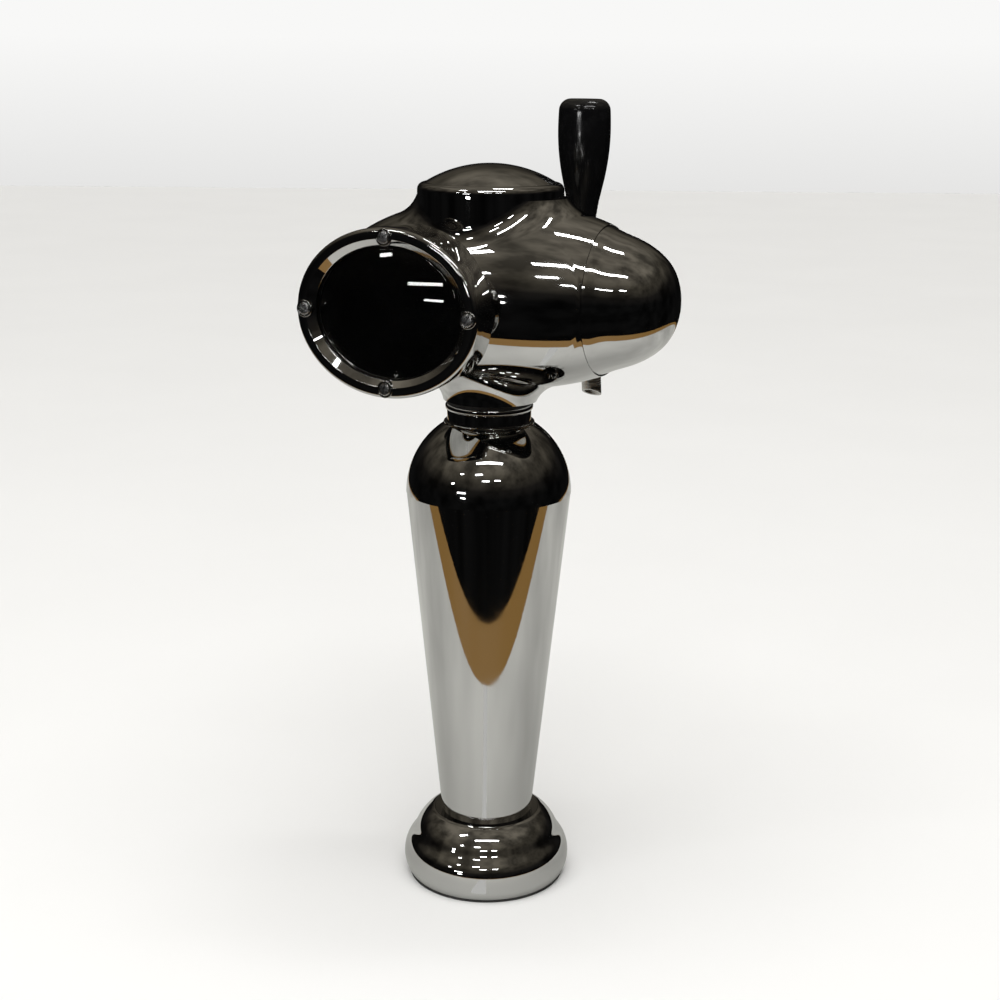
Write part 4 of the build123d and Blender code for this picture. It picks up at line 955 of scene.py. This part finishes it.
# ---------------------------------------------------------------- head
@dataclass
class Head:
    """Barrel with a turret above, a collar below, the badge's drum in front and the tap's pad behind.

    The barrel is the spheroid ((x - x0) / A)^2 + (y^2 + z^2) / R^2 = 1, with z from its axis. Seen down the
    column's axis it is a height field, so each half is a grid of upright sections: for a direction f the
    section is an ellipse in (rho, z), and a Bezier fillet leads from it to the turret's or collar's wall.
    The turret and the collar are given as (radius, end from the barrel's axis, fillet, bore). The grid has
    so many steps before and behind the seam's ends, and so many rows in a fillet, a wall and the barrel.
    The land stays clear of the recess, the seam and the skin by its gaps.
    """

    x0: float = 5.5
    half_len: float = 111.5
    radius: float = 56.0
    seam_x: float = 74.5
    wall: float = 4.5
    turret: tuple[float, float, float, float] = (43.3, 57.5, 20.0, 38.3)
    collar: tuple[float, float, float, float] = (27.6, 64.5, 20.0, 21.4)
    drum: Pair = (55.8, 46.9)
    drum_y: Pair = (6.0, 70.5)
    badge: Pair = (-30.0, 372.455)
    pad_r: float = 20.0
    pad_y: Pair = (48.6, 59.0)
    pad_bore_r: float = 14.0
    sleeve_r: float = 39.0
    land_x: Pair = (44.0, 60.0)
    lock_x: float = 54.0
    lock_angle: float = 51.5
    lock_r: float = 6.6
    lock_screw_r: float = 3.95
    lock_floor: float = 45.8
    lock_ends: Pair = (30.0, 64.0)
    land_gaps: Triple = (0.2, 0.02, 0.25)
    steps: tuple[int, int] = (61, 229)
    rows: tuple[int, int, int] = (60, 34, 44)

    def directions(self) -> np.ndarray:
        """The directions of the upright sections, with the two that meet the seam's ends among them.

        Returns:
            The angles, in radians.
        """
        corner = math.atan2(self.seam_r(), self.seam_x)
        front = np.linspace(-corner, corner, self.steps[0])
        rest = np.linspace(corner, 2 * math.pi - corner, self.steps[1])
        return np.concatenate((front[:-1], rest[:-1]))

    def seam_r(self) -> float:
        """The barrel's radius at the seam."""
        return self.radius * math.sqrt(1 - ((self.seam_x - self.x0) / self.half_len) ** 2)

    def half_shell(
        self, side: int, stem_r: float, stem_end: float, fillet: float, bore_r: float
    ) -> np.ndarray:
        """One half of the barrel with its stem, whose end cuts off a fillet that is taller.

        Args:
            side: 1 for the upper half, -1 for the lower.
            stem_r: Radius of the turret or collar.
            stem_end: Its end, from the barrel's axis.
            fillet: Radius of the fillet.
            bore_r: Inner radius of the stem's flat end.

        Returns:
            The grid of points, from the bore over the stem's end to the equator or the seam.
        """

        def on_section(angle: np.ndarray) -> np.ndarray:
            """The section's point (rho, z) at an angle of its ellipse."""
            return np.stack((mid + half * np.cos(angle), tall * np.sin(angle)), axis=-1)

        def pace(angle: np.ndarray) -> np.ndarray:
            """How far the section's point moves for each radian."""
            return np.hypot(half * np.sin(angle), tall * np.cos(angle))

        fillet_rows, wall_rows, barrel_rows = self.rows
        f = self.directions()[:, None]
        across, along = np.cos(f), np.sin(f)
        p = across**2 / self.half_len**2 + along**2 / self.radius**2
        q = self.x0 * across / self.half_len**2
        k = 1 - (self.x0 / self.half_len) ** 2 + q**2 / p
        mid, half, tall = q / p, np.sqrt(k / p), self.radius * np.sqrt(k)
        corner = np.arccos((stem_r - mid) / half)
        turn = np.arccos(tall * np.cos(corner) / pace(corner))
        reach = fillet * np.tan(turn / 2)
        foot = corner - reach / pace(corner - reach / pace(corner))
        handle = 4 / 3 * np.tan(turn / 4) * fillet
        start = np.stack((np.full_like(corner, stem_r), tall * np.sin(corner) + reach), axis=-1)
        end = on_section(foot)
        pull_start = start - np.stack((np.zeros_like(handle), handle), axis=-1)
        slope = np.stack((half * np.sin(foot), -tall * np.cos(foot)), axis=-1) / pace(foot)[..., None]
        pull_end = end - slope * handle[..., None]
        t = np.linspace(0, 1, fillet_rows)[None, :, None]
        curve = (1 - t) ** 3 * start + 3 * (1 - t) ** 2 * t * pull_start + 3 * (1 - t) * t**2 * pull_end
        curve = curve + t**3 * end
        wall = np.stack([self.cut_off(line, stem_r, stem_end, wall_rows) for line in curve])
        bore = np.broadcast_to(np.array((bore_r, stem_end)), wall[:, :1].shape)
        ahead = across > 0.2
        seam = np.clip((self.seam_x / np.where(ahead, across, 1e9) - mid) / half, -1, 1)
        on_seam = ahead & (np.abs(np.tan(f)) * self.seam_x <= self.seam_r() + 1e-6)
        last = np.where(on_seam, np.arccos(seam), 0.0)
        barrel = on_section(foot + (last - foot) * np.linspace(0, 1, barrel_rows)[None, :])
        line = np.concatenate((bore, wall[:, :-1], barrel), axis=1)
        rho, z = line[..., 0], line[..., 1] * side
        return np.stack((rho * across, rho * along, z + HEAD_Z), axis=-1)

    @staticmethod
    def cut_off(curve: np.ndarray, stem_r: float, stem_end: float, count: int) -> np.ndarray:
        """The stem's wall and its fillet below the stem's end, as evenly spaced points.

        Args:
            curve: The whole fillet, from the wall outwards, as (rho, z).
            stem_r: Radius of the wall.
            stem_end: Height of the flat end.
            count: How many points.

        Returns:
            The points, from the end to the barrel.
        """
        if curve[0, 1] < stem_end:
            line = np.vstack(((stem_r, stem_end), curve))
        else:
            first = np.interp(-stem_end, -curve[:, 1], curve[:, 0])
            line = np.vstack(((first, stem_end), curve[curve[:, 1] < stem_end]))
        run = np.concatenate(([0.0], np.cumsum(np.linalg.norm(np.diff(line, axis=0), axis=1))))
        at = np.linspace(0, run[-1], count)
        return np.column_stack((np.interp(at, run, line[:, 0]), np.interp(at, run, line[:, 1])))

    def build(self) -> Piece:
        """Joins the two halves, gives them a wall and sinks the set screw's recess.

        Returns:
            The piece.
        """
        halves = (self.half_shell(1, *self.turret), self.half_shell(-1, *self.collar))
        skin = make_mesh("head_barrel", [Grid(half.transpose(1, 0, 2)) for half in halves], merge=2e-5)
        solid = skin.modifiers.new("wall", "SOLIDIFY")
        solid.thickness = self.wall * MM
        solid.offset = -1
        settle(skin)
        cut(skin, self.lock_hole("recess", self.lock_r, self.lock_floor, self.lock_ends[1]), 30)
        return skin

    def lock_hole(self, name: str, radius: float, start: float, end: float) -> Piece:
        """A round tool along the set screw's axis.

        Args:
            name: Its name.
            radius: Its radius.
            start: Its inner end, from the barrel's axis.
            end: Its outer end.

        Returns:
            The closed tool.
        """
        angle = math.radians(self.lock_angle)
        out = np.array((0, -math.cos(angle), -math.sin(angle)))
        axes = (out, (1.0, 0, 0), np.cross(out, (1, 0, 0)))
        profile = np.array([(0, start), (radius, start), (radius, end), (0, end)])
        return make_mesh(name, [Grid(turned(profile, axes, (self.lock_x, 0, HEAD_Z), 96))])

    def build_drum(self) -> Piece:
        """The badge's oval drum, with its front edge just broken.

        Returns:
            The piece.
        """
        near, far = self.drum_y
        corners = [(-self.wall, near, 0), (0, near, 0), (0, far, 0.5), (-self.wall, far, 0.3)]
        profile = resampled(rounded(corners, closed=True, count=5), 8.0, closed=True)
        centre = (self.badge[0], 0, self.badge[1])
        return turned_piece("badge_drum", profile, Way.BADGE, centre, 288, self.drum)

    def build_pad(self) -> Piece:
        """The round flat pad that the tap stands on.

        Returns:
            The piece.
        """
        (near, far), bore, edge = self.pad_y, self.pad_bore_r, self.pad_r
        corners = [(bore, near, 0), (edge, near, 0), (edge, far, 0.5), (bore, far, 0)]
        return turned_piece("tap_pad", rounded(corners, closed=True), Way.TAP, (TAP_X, 0, HEAD_Z), 144)

    def build_seam(self) -> Piece:
        """The land inside the seam that the end dome's sleeve slides into, a dark line from outside.

        Returns:
            The piece.
        """
        (near, far), gaps = self.land_x, self.land_gaps
        top, end = self.lock_floor - gaps[0], self.seam_x - gaps[1]
        slope = [(top, near), (top, far), (self.seam_r() - gaps[2], end)]
        profile = np.array([(self.sleeve_r, near), *slope, (self.sleeve_r, end)])
        land = turned_piece("seam_land", profile, Way.BARREL, (0, 0, HEAD_Z), 200)
        cut(land, self.lock_hole("screw_hole", self.lock_screw_r, self.lock_ends[0], self.radius), 30)
        return land

    def dress(self) -> None:
        """Chrome for all of the casting."""
        dress(self.build(), CHROME, "head_body")
        for part in (self.build_drum(), self.build_pad(), self.build_seam()):
            dress(part, CHROME)


@dataclass
class EndDome(ChromePart):
    """Removable end of the barrel: a rounded cup, given by points (x, r), and the sleeve behind the seam."""

    node = "end_dome"
    seat_x: float = 74.55
    profile: tuple[Pair, ...] = (
        (74.55, 43.088),
        (80.0, 40.788),
        (90.0, 37.188),
        (100.0, 32.388),
        (110.0, 23.988),
        (117.5, 0.0),
    )
    seam_slope: float = -0.33
    wall: float = 3.5
    hollow_r: float = 36.9
    rim_w: float = 3.4
    sleeve: Pair = (34.19, 38.78)
    sleeve_x: float = 44.2

    def outline(self, count: int = 72) -> np.ndarray:
        """The cup's outline: a cubic spline through its points, given by chord length.

        Args:
            count: Number of points.

        Returns:
            The points, as (r, x).
        """
        knots = np.array(self.profile)
        chord = np.concatenate(([0], np.cumsum(np.linalg.norm(np.diff(knots, axis=0), axis=1))))
        start = np.array((1, self.seam_slope)) / math.hypot(1, self.seam_slope)
        ends = (start, np.array((0.0, -1.0)))
        return spline(chord, knots, np.linspace(0, chord[-1], count), ends)[:, ::-1]

    def build(self) -> Piece:
        """Turns the cup and its sleeve as one closed profile about the barrel's axis.

        Returns:
            The piece.
        """
        outer = self.outline()
        depth = self.profile[-1][0] - self.wall - self.seat_x
        angle = np.radians(np.linspace(0, 90, 30))
        low, high = self.sleeve
        profile = np.vstack(
            (
                np.column_stack((self.hollow_r * np.sin(angle), self.seat_x + depth * np.cos(angle))),
                [(low, self.seat_x)],
                rounded([(low, self.sleeve_x, 0), (high, self.sleeve_x, 0.4), (high, self.seat_x, 0)]),
                [(outer[0, 0] - self.rim_w, self.seat_x), (outer[0, 0], self.seat_x)],
                outer[1:],
            )
        )
        return turned_piece("dome_cup", profile, Way.BARREL, (0, 0, HEAD_Z), 256, closed=False, sharp=28)


@dataclass
class TopCap(ChromePart):
    """Round cap of the turret: an upright band, a rounded edge and a low crown."""

    node = "top_cap"
    radius: float = 43.5
    low_z: float = 434.505
    edge_z: float = 442.505
    edge: float = 4.3
    crown_r: float = 39.0
    rise: float = 11.0
    wall: float = 3.0
    sleeve: Pair = (33.6, 38.1)
    sleeve_z: float = 425.505

    def build(self) -> Piece:
        """Turns the cap's profile about the column's axis.

        Returns:
            The piece.
        """
        sphere = (self.crown_r**2 + self.rise**2) / (2 * self.rise)
        centre = self.edge_z + self.rise - sphere
        lean = math.degrees(math.asin((self.edge_z - centre) / sphere))
        inner, (low, high) = sphere - self.wall, self.sleeve
        inner_lean = math.degrees(math.acos(low / inner))
        band = [(self.radius, self.low_z, 0.3), (high, self.low_z, 0), (high, self.sleeve_z, 0)]
        profile = np.vstack(
            (
                arc((0, centre), sphere, 90, lean, 40),
                arc((self.radius - self.edge, self.edge_z - self.edge), self.edge, 90, 0, 14),
                rounded([*band, (low, self.sleeve_z, 0)]),
                arc((0, centre), inner, inner_lean, 90, 20),
            )
        )
        return turned_piece("turret_cap", profile, steps=240, closed=False, sharp=24)


# ---------------------------------------------------------------- badge
@dataclass
class Badge:
    """Oval bezel with four screw lugs and a domed clear lens over a plain black disc.

    A screw is given by its shank (radius, length), its pan head (radius, height, rounding) and its slot
    (half length, half width, floor over the seat).
    """

    centre: Triple = (-30.0, 0.0, 372.455)
    bezel: Pair = (57.3, 48.6)
    window: Pair = (46.4, 38.6)
    flange_b: float = 40.2
    back_y: float = 70.55
    thick: float = 9.0
    face_w: float = 6.6
    edge_round: float = 2.6
    lip_round: float = 0.6
    bevel_back: float = 3.9
    window_back: float = 6.1
    lug_r: float = 5.0
    lug_y: float = 79.95
    seat_r: float = 3.8
    screws: tuple[Pair, ...] = ((51.8, 0.0), (-51.8, 0.0), (0.0, 43.2), (0.0, -43.2))
    screw_turns: tuple[float, ...] = (62, -20, 35, 80)
    shank: Pair = (1.9, 15.0)
    pan: Triple = (3.6, 1.5, 0.9)
    slot: Triple = (4.2, 0.45, 0.7)
    lens_base: float = 38.4
    lens_rise: float = 4.6
    lens_thick: float = 2.2
    lens_flange: float = 1.8

    def spots(self) -> list[Triple]:
        """The screws' places on the plane y = 0."""
        return [(self.centre[0] + x, 0, self.centre[2] + z) for x, z in self.screws]

    def build_bezel(self) -> Piece:
        """Carries the bezel's section round its oval, from the outer edge's rounding to the bevel.

        Each ring is an oval (a cos t, b sin t) at its own distance in front of the barrel's axis.

        Returns:
            The piece.
        """
        front, back = self.back_y + self.thick, self.back_y
        step = front - self.window_back
        bevel = (self.bezel[0] - self.face_w, self.bezel[1] - self.face_w)
        flange = (self.flange_b * self.window[0] / self.window[1], self.flange_b)
        edge, lip = self.edge_round, self.lip_round
        runs = (
            (self.bezel, ((-4.0, back), (-0.3, back), (0.0, back + 0.3))),
            (self.bezel, arc((-edge, front - edge), edge, 0, 90, 12)),
            (bevel, arc((0.5, front - lip), lip, 90, 130, 5)),
            (self.window, arc((0.5, front - self.bevel_back), lip, 120, 180, 5)),
            (self.window, ((0.0, step),)),
            (flange, ((0.2, step), (0.2, back))),
        )
        rings = np.array([(half[0] + o, half[1] + o, y) for half, run in runs for o, y in run])
        angle = round_turn(320)
        a, b, y = rings[:, :1], rings[:, 1:2], rings[:, 2:] + 0 * angle
        grid = np.stack((a * np.cos(angle), -y, b * np.sin(angle)), axis=-1) + np.array(self.centre)
        return make_mesh("badge_bezel", [Grid(grid, rows_join=True)], sharp=40)

    def build_lugs(self) -> Piece:
        """Four round lugs with sunk seats for the screw heads.

        Returns:
            The piece.
        """
        low, high, seat = self.back_y + 1, self.lug_y, self.lug_y - 0.8
        outside = [(0, low, 0), (self.lug_r, low, 0), (self.lug_r, high, 0.4)]
        inside = [(self.seat_r, high, 0.2), (self.seat_r, seat, 0), (0, seat, 0)]
        profile = rounded([*outside, *inside], count=5)
        return make_mesh("bezel_lugs", [Grid(turned(profile, Way.BADGE, spot, 48)) for spot in self.spots()])

    def build_screws(self) -> Piece:
        """Slotted pan heads on their shanks.

        Returns:
            The piece.
        """
        seat, (shank_r, length), (pan_r, pan_h, pan_round) = self.lug_y - 0.75, self.shank, self.pan
        shank = [(0, seat - length, 0), (shank_r, seat - length, 0.4), (shank_r, seat, 0)]
        pan = [(pan_r, seat, 0), (pan_r, seat + pan_h, pan_round), (0, seat + pan_h + 0.05, 0)]
        profile = rounded([*shank, *pan], count=7)
        grids = [Grid(turned(profile, Way.BADGE, spot, 48)) for spot in self.spots()]
        screws = make_mesh("bezel_screw_set", grids)
        corner = np.array([(-1, -1), (1, -1), (1, 1), (-1, 1)]) * self.slot[:2]
        boxes = []
        for spot, turn in zip(self.spots(), np.radians(self.screw_turns)):
            along = np.array((math.cos(turn), 0, math.sin(turn)))
            wide = np.array((-math.sin(turn), 0, math.cos(turn)))
            ring = corner[:, :1] * along + corner[:, 1:] * wide + np.array(spot)
            low, high = ring - (0, seat + self.slot[2], 0), ring - (0, seat + 2 * pan_h, 0)
            boxes.append(Grid(np.stack((low.mean(0) + 0 * low, low, high, high.mean(0) + 0 * high))))
        cut(screws, make_mesh("slots", boxes))
        return screws

    def build_lens(self) -> Piece:
        """The lens: two shallow caps stretched to the oval, and the flange behind the bezel.

        Returns:
            The piece.
        """
        front = self.back_y + self.thick - 6.15
        sphere = (self.lens_base**2 + self.lens_rise**2) / (2 * self.lens_rise)
        middle, inner = self.lens_rise - sphere, sphere - self.lens_thick
        lean = math.degrees(math.acos(self.lens_base / sphere))
        inner_lean = math.degrees(math.asin((-self.lens_flange - middle) / inner))
        profile = np.vstack(
            (
                arc((0, middle), sphere, 90, lean, 36),
                [(self.flange_b, 0), (self.flange_b, -self.lens_flange)],
                arc((0, middle), inner, inner_lean, 90, 36),
            )
        )
        oval = np.array((self.window[0] / self.window[1], 1, 1))
        grid = turned(profile, Way.BADGE, (0, -front, 0), 256) * oval + np.array(self.centre)
        return make_mesh("badge_window", [Grid(grid)])

    def dress(self) -> None:
        """Chrome bezel and lugs, steel screws and the clear lens."""
        dress(self.build_bezel(), CHROME, "bezel_ring")
        dress(self.build_lugs(), CHROME)
        dress(self.build_screws(), SCREW_STEEL, "bezel_screws")
        dress(self.build_lens(), LENS, "badge_lens")


# ---------------------------------------------------------------- handle
@dataclass
class Handle:
    """Black grip: oval sections (height, a, b) that swell towards the top, with a rounded crown."""

    y: float = 103.0
    low_z: float = 412.505
    foot: Pair = (7.9, 7.5)
    sections: tuple[Triple, ...] = (
        (0, 8.4, 8.0),
        (11, 10.1, 9.2),
        (25, 13.4, 11.0),
        (40, 16.1, 12.7),
        (56, 17.2, 13.4),
        (76.5, 16.4, 12.8),
    )
    crown: float = 7.0

    def build(self) -> Piece:
        """Lays ovals a(h), b(h) along the grip; the crown pulls them in by 1 - sqrt(1 - s^2).

        Returns:
            The piece.
        """
        table = np.array(self.sections)
        place, widths, top = table[:, 0], table[:, 1:], table[-1, 0]
        height = np.linspace(0, top - self.crown, 46)[1:]
        s = np.sin(np.radians(np.linspace(0, 90, 16)))[1:]
        crown_h = top - self.crown + self.crown * s
        crown_in = self.crown * (1 - np.sqrt(1 - s**2))
        crown_w = spline(place, widths, crown_h) - crown_in[:, None]
        lid = np.array((0.66, 0.33, 0.0))[:, None] * crown_w[-1]
        rows = np.vstack(
            (
                [(0.0, 0.0, 0.0), (*self.foot, 0.0)],
                np.column_stack((spline(place, widths, height), height)),
                np.column_stack((crown_w, crown_h)),
                np.column_stack((lid, np.full(3, top))),
            )
        )
        angle = round_turn(144)
        a, b, z = rows[:, :1], rows[:, 1:2], rows[:, 2:] + 0 * angle
        oval = np.stack((a * np.cos(angle), b * np.sin(angle), z), axis=-1)
        return make_mesh("handle_grip", [Grid(oval + np.array((TAP_X, self.y, self.low_z)))], sharp=50)

    def dress(self) -> None:
        """Gloss black for the grip."""
        dress(self.build(), HANDLE_BLACK, "tap_handle", body="lever")


# ---------------------------------------------------------------- carried-over nodes
@dataclass
class CarriedNodes:
    """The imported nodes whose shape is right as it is: each gets its finish in its material slots."""

    nodes: dict[str, Piece]
    finishes: tuple[tuple[Finish, tuple[str, ...]], ...] = (
        (RUBBER, ("foot_gasket", "neck_seal", "top_cap_seal", "end_dome_seal", "lens_seal")),
        (RUBBER, ("rosette_seal", "tap_seal", "flow_lever_seal", "piston_seals")),
        (BRASS, ("column_nut", "neck_tube", "neck_nut", "shank_nut")),
        (SCREW_STEEL, ("dome_lock_screw",)),
        (BLACK_MOULDING, ("badge_carrier", "elbow_connector")),
        (BADGE_BLACK, ("badge_disc",)),
        (STEEL, ("tap_shank", "shank_washer", "piston", "flow_lever_gland", "flow_lever")),
        (STEEL_UPRIGHT, ("spout", "tap_lever", "cooling_loop")),
        (CHROME, ("shank_rosette", "union_nut", "tap_body", "tap_plug", "bonnet_nut", "handle_ferrule")),
        (WHITE, ("flow_cone", "lever_seat_lower", "lever_seat_upper")),
        (LINE, ("beer_line",)),
        (FOAM, ("insulation_core",)),
    )

    def dress(self) -> None:
        """Sets each node's material."""
        for finish, names in self.finishes:
            for name in names:
                for slot in self.nodes[name].material_slots:
                    slot.material = finish.material()
                LOG.info("%s: %s", name, finish.name)


# ---------------------------------------------------------------- studio
@dataclass(frozen=True)
class Tube:
    """A lamp tube: its middle (right, away, up), its length and width in metres, and its watts."""

    place: Triple
    length: float
    width: float
    power: float


@dataclass
class Studio:
    """Pale floor and surround, a soft overhead light, rows of thin tubes, and the camera.

    Bright metal shows what stands round it, so the metal sees a round pale table whose wooden edge is near
    the tower, and a dim room with rows of lamp tubes beyond it. The floor and the surround are for the eye
    alone.
    """

    azimuth: float = 24.0
    distance: float = 1.0
    height: float = 0.511
    pitch: float = 14.7
    roll: float = 0.5
    yaw: float = 0.404
    focal_px: float = 1670.0
    image_px: float = 1000.0
    sensor: float = 36.0
    table_front: float = 0.258
    table_r: float = 0.92
    edge_w: float = 0.094
    table_z: float = -0.0005
    edge_z: float = -0.0008
    streak_z: float = -0.0003
    reach: float = 6.0
    sun_power: float = 2.9
    sun_width: float = 70.0
    sun_lean: float = 14.0
    tubes: tuple[Tube, ...] = (
        Tube((0.30, 0.15, 2.2), 0.5, 0.12, 3.0),
        Tube((-1.25, -0.80, 2.2), 0.5, 0.12, 3.0),
        Tube((0.05, -1.55, 2.2), 1.5, 0.16, 9.0),
        Tube((-0.78, -2.75, 2.2), 0.55, 0.16, 4.0),
        Tube((-2.2, -2.35, 2.2), 0.3, 0.16, 3.0),
        Tube((-0.3, -4.0, 2.2), 0.75, 0.2, 6.0),
        Tube((0.9, -3.8, 2.2), 0.6, 0.2, 6.0),
    )
    low_tubes: tuple[Tube, ...] = (
        Tube((-1.85, -2.36, 0.63), 0.6, 0.07, 2.0),
        Tube((-1.72, -2.45, 0.29), 0.32, 0.05, 1.0),
        Tube((-2.39, -1.81, 1.15), 0.22, 0.07, 1.0),
    )
    low_aim: Triple = (0, 0, 0.38)
    room_tones: tuple[tuple[float, Triple], ...] = (
        (0.0, (0.004, 0.004, 0.004)),
        (0.8, (0.14, 0.125, 0.10)),
        (0.2, (0.010, 0.009, 0.008)),
        (0.5, (0.068, 0.060, 0.046)),
    )

    def right(self) -> np.ndarray:
        """Level direction to the camera's right."""
        angle = math.radians(self.azimuth)
        return np.array((math.cos(angle), math.sin(angle), 0.0))

    def point(self, place: Triple) -> np.ndarray:
        """A place given as (right, away, up) in the frame's own directions."""
        away = np.cross((0, 0, 1), self.right())
        return place[0] * self.right() + place[1] * away + np.array((0, 0, place[2]))

    def disc(self, radius: float, level: float) -> list[Triple]:
        """The outline of a round table top round the table's middle.

        Args:
            radius: Its radius.
            level: Its height.

        Returns:
            Its points as (right, away, up).
        """
        middle = self.table_r - self.table_front
        return [(radius * math.sin(a), middle - radius * math.cos(a), level) for a in round_turn(160)]

    def camera(self) -> None:
        """Sets the camera at the viewing angle."""
        data = bpy.data.cameras.new("camera")
        data.sensor_width = self.sensor
        data.lens = self.focal_px / self.image_px * self.sensor
        data.clip_end = 50
        camera = linked("camera", data)
        heading = Matrix.Rotation(math.radians(self.azimuth - self.yaw), 4, "Z")
        tilt = Matrix.Rotation(math.radians(90 - self.pitch), 4, "X")
        roll = Matrix.Rotation(math.radians(self.roll), 4, "Z")
        place = Matrix.Translation(self.point((0, -self.distance, self.height)))
        camera.matrix_world = place @ heading @ tilt @ roll
        bpy.context.scene.camera = camera

    def panel(self, name: str, outline: list[Triple], finish: Finish, eye: bool = False) -> None:
        """A flat stage panel, which either the camera or the bright metal sees.

        Args:
            name: Its name.
            outline: Its corners as (right, away, up) in metres, from the column's foot.
            finish: Its paint.
            eye: Whether the camera sees it.
        """
        mesh = bpy.data.meshes.new(name)
        mesh.from_pydata([tuple(self.point(c)) for c in outline], [], [tuple(range(len(outline)))])
        mesh.materials.append(finish.material())
        panel = linked(name, mesh)
        panel.visible_camera = eye
        panel.visible_glossy = panel.visible_transmission = panel.visible_diffuse = not eye
        panel.visible_shadow = False

    def lamp(self, name: str, tube: Tube, aim: Triple) -> None:
        """A lamp tube that shows in the bright metal.

        Args:
            name: Its name.
            tube: Its place, size and power.
            aim: The place that it faces, as (right, away, up).
        """
        data = bpy.data.lights.new(name, "AREA")
        data.shape = "RECTANGLE"
        data.size, data.size_y = tube.length, tube.width
        data.energy = tube.power
        where = Vector(self.point(tube.place))
        beam = (Vector(self.point(aim)) - where).normalized()
        across = Vector(self.right())
        across = (across - beam * across.dot(beam)).normalized()
        turn = Matrix((across, (-beam).cross(across), -beam)).transposed().to_4x4()
        linked(name, data).matrix_world = Matrix.Translation(where) @ turn

    def sky(self) -> None:
        """One wide soft light from above, even over the whole floor; the metal doesn't show it."""
        data = bpy.data.lights.new("soft_sky", "SUN")
        data.energy = self.sun_power
        data.angle = math.radians(self.sun_width)
        lamp = linked("soft_sky", data)
        lean = Matrix.Rotation(math.radians(self.sun_lean), 4, "X")
        lamp.matrix_world = Matrix.Rotation(math.radians(self.azimuth), 4, "Z") @ lean
        lamp.visible_glossy = lamp.visible_transmission = False

    def room(self) -> None:
        """The dim room as the metal sees it: dark near the horizon, warmer and lighter to the ceiling."""
        world = bpy.data.worlds.new("room")
        bpy.context.scene.world = world
        world.use_nodes = True
        nodes = Nodes(world.node_tree)
        where = nodes.add("ShaderNodeTexCoord").outputs["Generated"]
        split = nodes.add("ShaderNodeSeparateXYZ")
        nodes.vary(split, Vector=where)
        tones = nodes.add("ShaderNodeValToRGB")
        nodes.vary(tones, Fac=split.outputs["Z"])
        elements = tones.color_ramp.elements
        for (position, colour), element in zip(self.room_tones, tuple(elements)):
            element.position, element.color = position, (*colour, 1)
        for position, colour in self.room_tones[len(elements) :]:
            elements.new(position).color = (*colour, 1)
        blur = nodes.add("ShaderNodeTexNoise", Scale=3.2, Detail=3)
        nodes.vary(blur, Vector=where)
        strength = nodes.ramp(blur.outputs["Fac"], 0.35, 0.65, 0.45, 1.6)
        nodes.vary(world.node_tree.nodes["Background"], Color=tones.outputs["Color"], Strength=strength)

    def build(self) -> None:
        """Makes the stage, the lights and the dim room."""
        top = StagePaint(name="table_top", tint=(0.6, 0.6, 0.57), grain=2.2, dim=0.68)
        wood = StagePaint(name="table_edge", tint=(0.25, 0.14, 0.04), roughness=0.45)
        # The surround glows evenly but for painted shade at its foot; the table's streak glows as a painted
        # strip of light.
        glow, painted_light = Glow(shaded_foot_share=0.835), Glow(name="table_painted_light", tint=(0.72, 0.72, 0.7))
        self.panel("table", self.disc(self.table_r, self.table_z), top)
        self.panel("table_edge", self.disc(self.table_r + self.edge_w, self.edge_z), wood)
        # A glowing strip painted on the table, seen only by the metal: painted light that shows as a bright
        # line down the column and the foot.
        front, back = -self.table_front, -0.056
        streak = ((-0.03, front), (-0.002, front), (0.0, back), (-0.012, back))
        self.panel("streak", [(x, y, self.streak_z) for x, y in streak], painted_light)
        r = self.reach
        square = ((-r, -r), (r, -r), (r, r), (-r, r))
        self.panel("floor", [(x, y, 0) for x, y in square], StagePaint(), eye=True)
        ring = (*reversed(square), square[-1])
        for index, ((x0, y0), (x1, y1)) in enumerate(zip(ring, ring[1:])):
            wall = [(x0, y0, 0), (x1, y1, 0), (x1, y1, r), (x0, y0, r)]
            self.panel(f"surround_{index}", wall, glow, eye=True)
        for index, tube in enumerate(self.tubes):
            self.lamp(f"tube_{index}", tube, (tube.place[0], tube.place[1], 0.0))
        for index, tube in enumerate(self.low_tubes):
            self.lamp(f"low_tube_{index}", tube, self.low_aim)
        self.sky()
        self.room()
        bpy.context.scene.view_settings.view_transform = "Standard"


def corners(box: tuple[Vector, Vector]) -> list[list[float]]:
    """A box as plain lists of numbers."""
    return [[float(v) for v in corner] for corner in box]


def main() -> None:
    """Builds the tower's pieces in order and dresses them."""
    logging.basicConfig(level=logging.INFO, format="%(message)s")
    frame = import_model()
    studio = Studio()
    studio.camera()
    studio.build()
    CarriedNodes(frame["nodes"]).dress()
    for part in (Foot(), Column(), NeckRing(), Head(), EndDome(), TopCap(), Badge(), Handle()):
        part.dress()


if __name__ == "__main__":
    main()
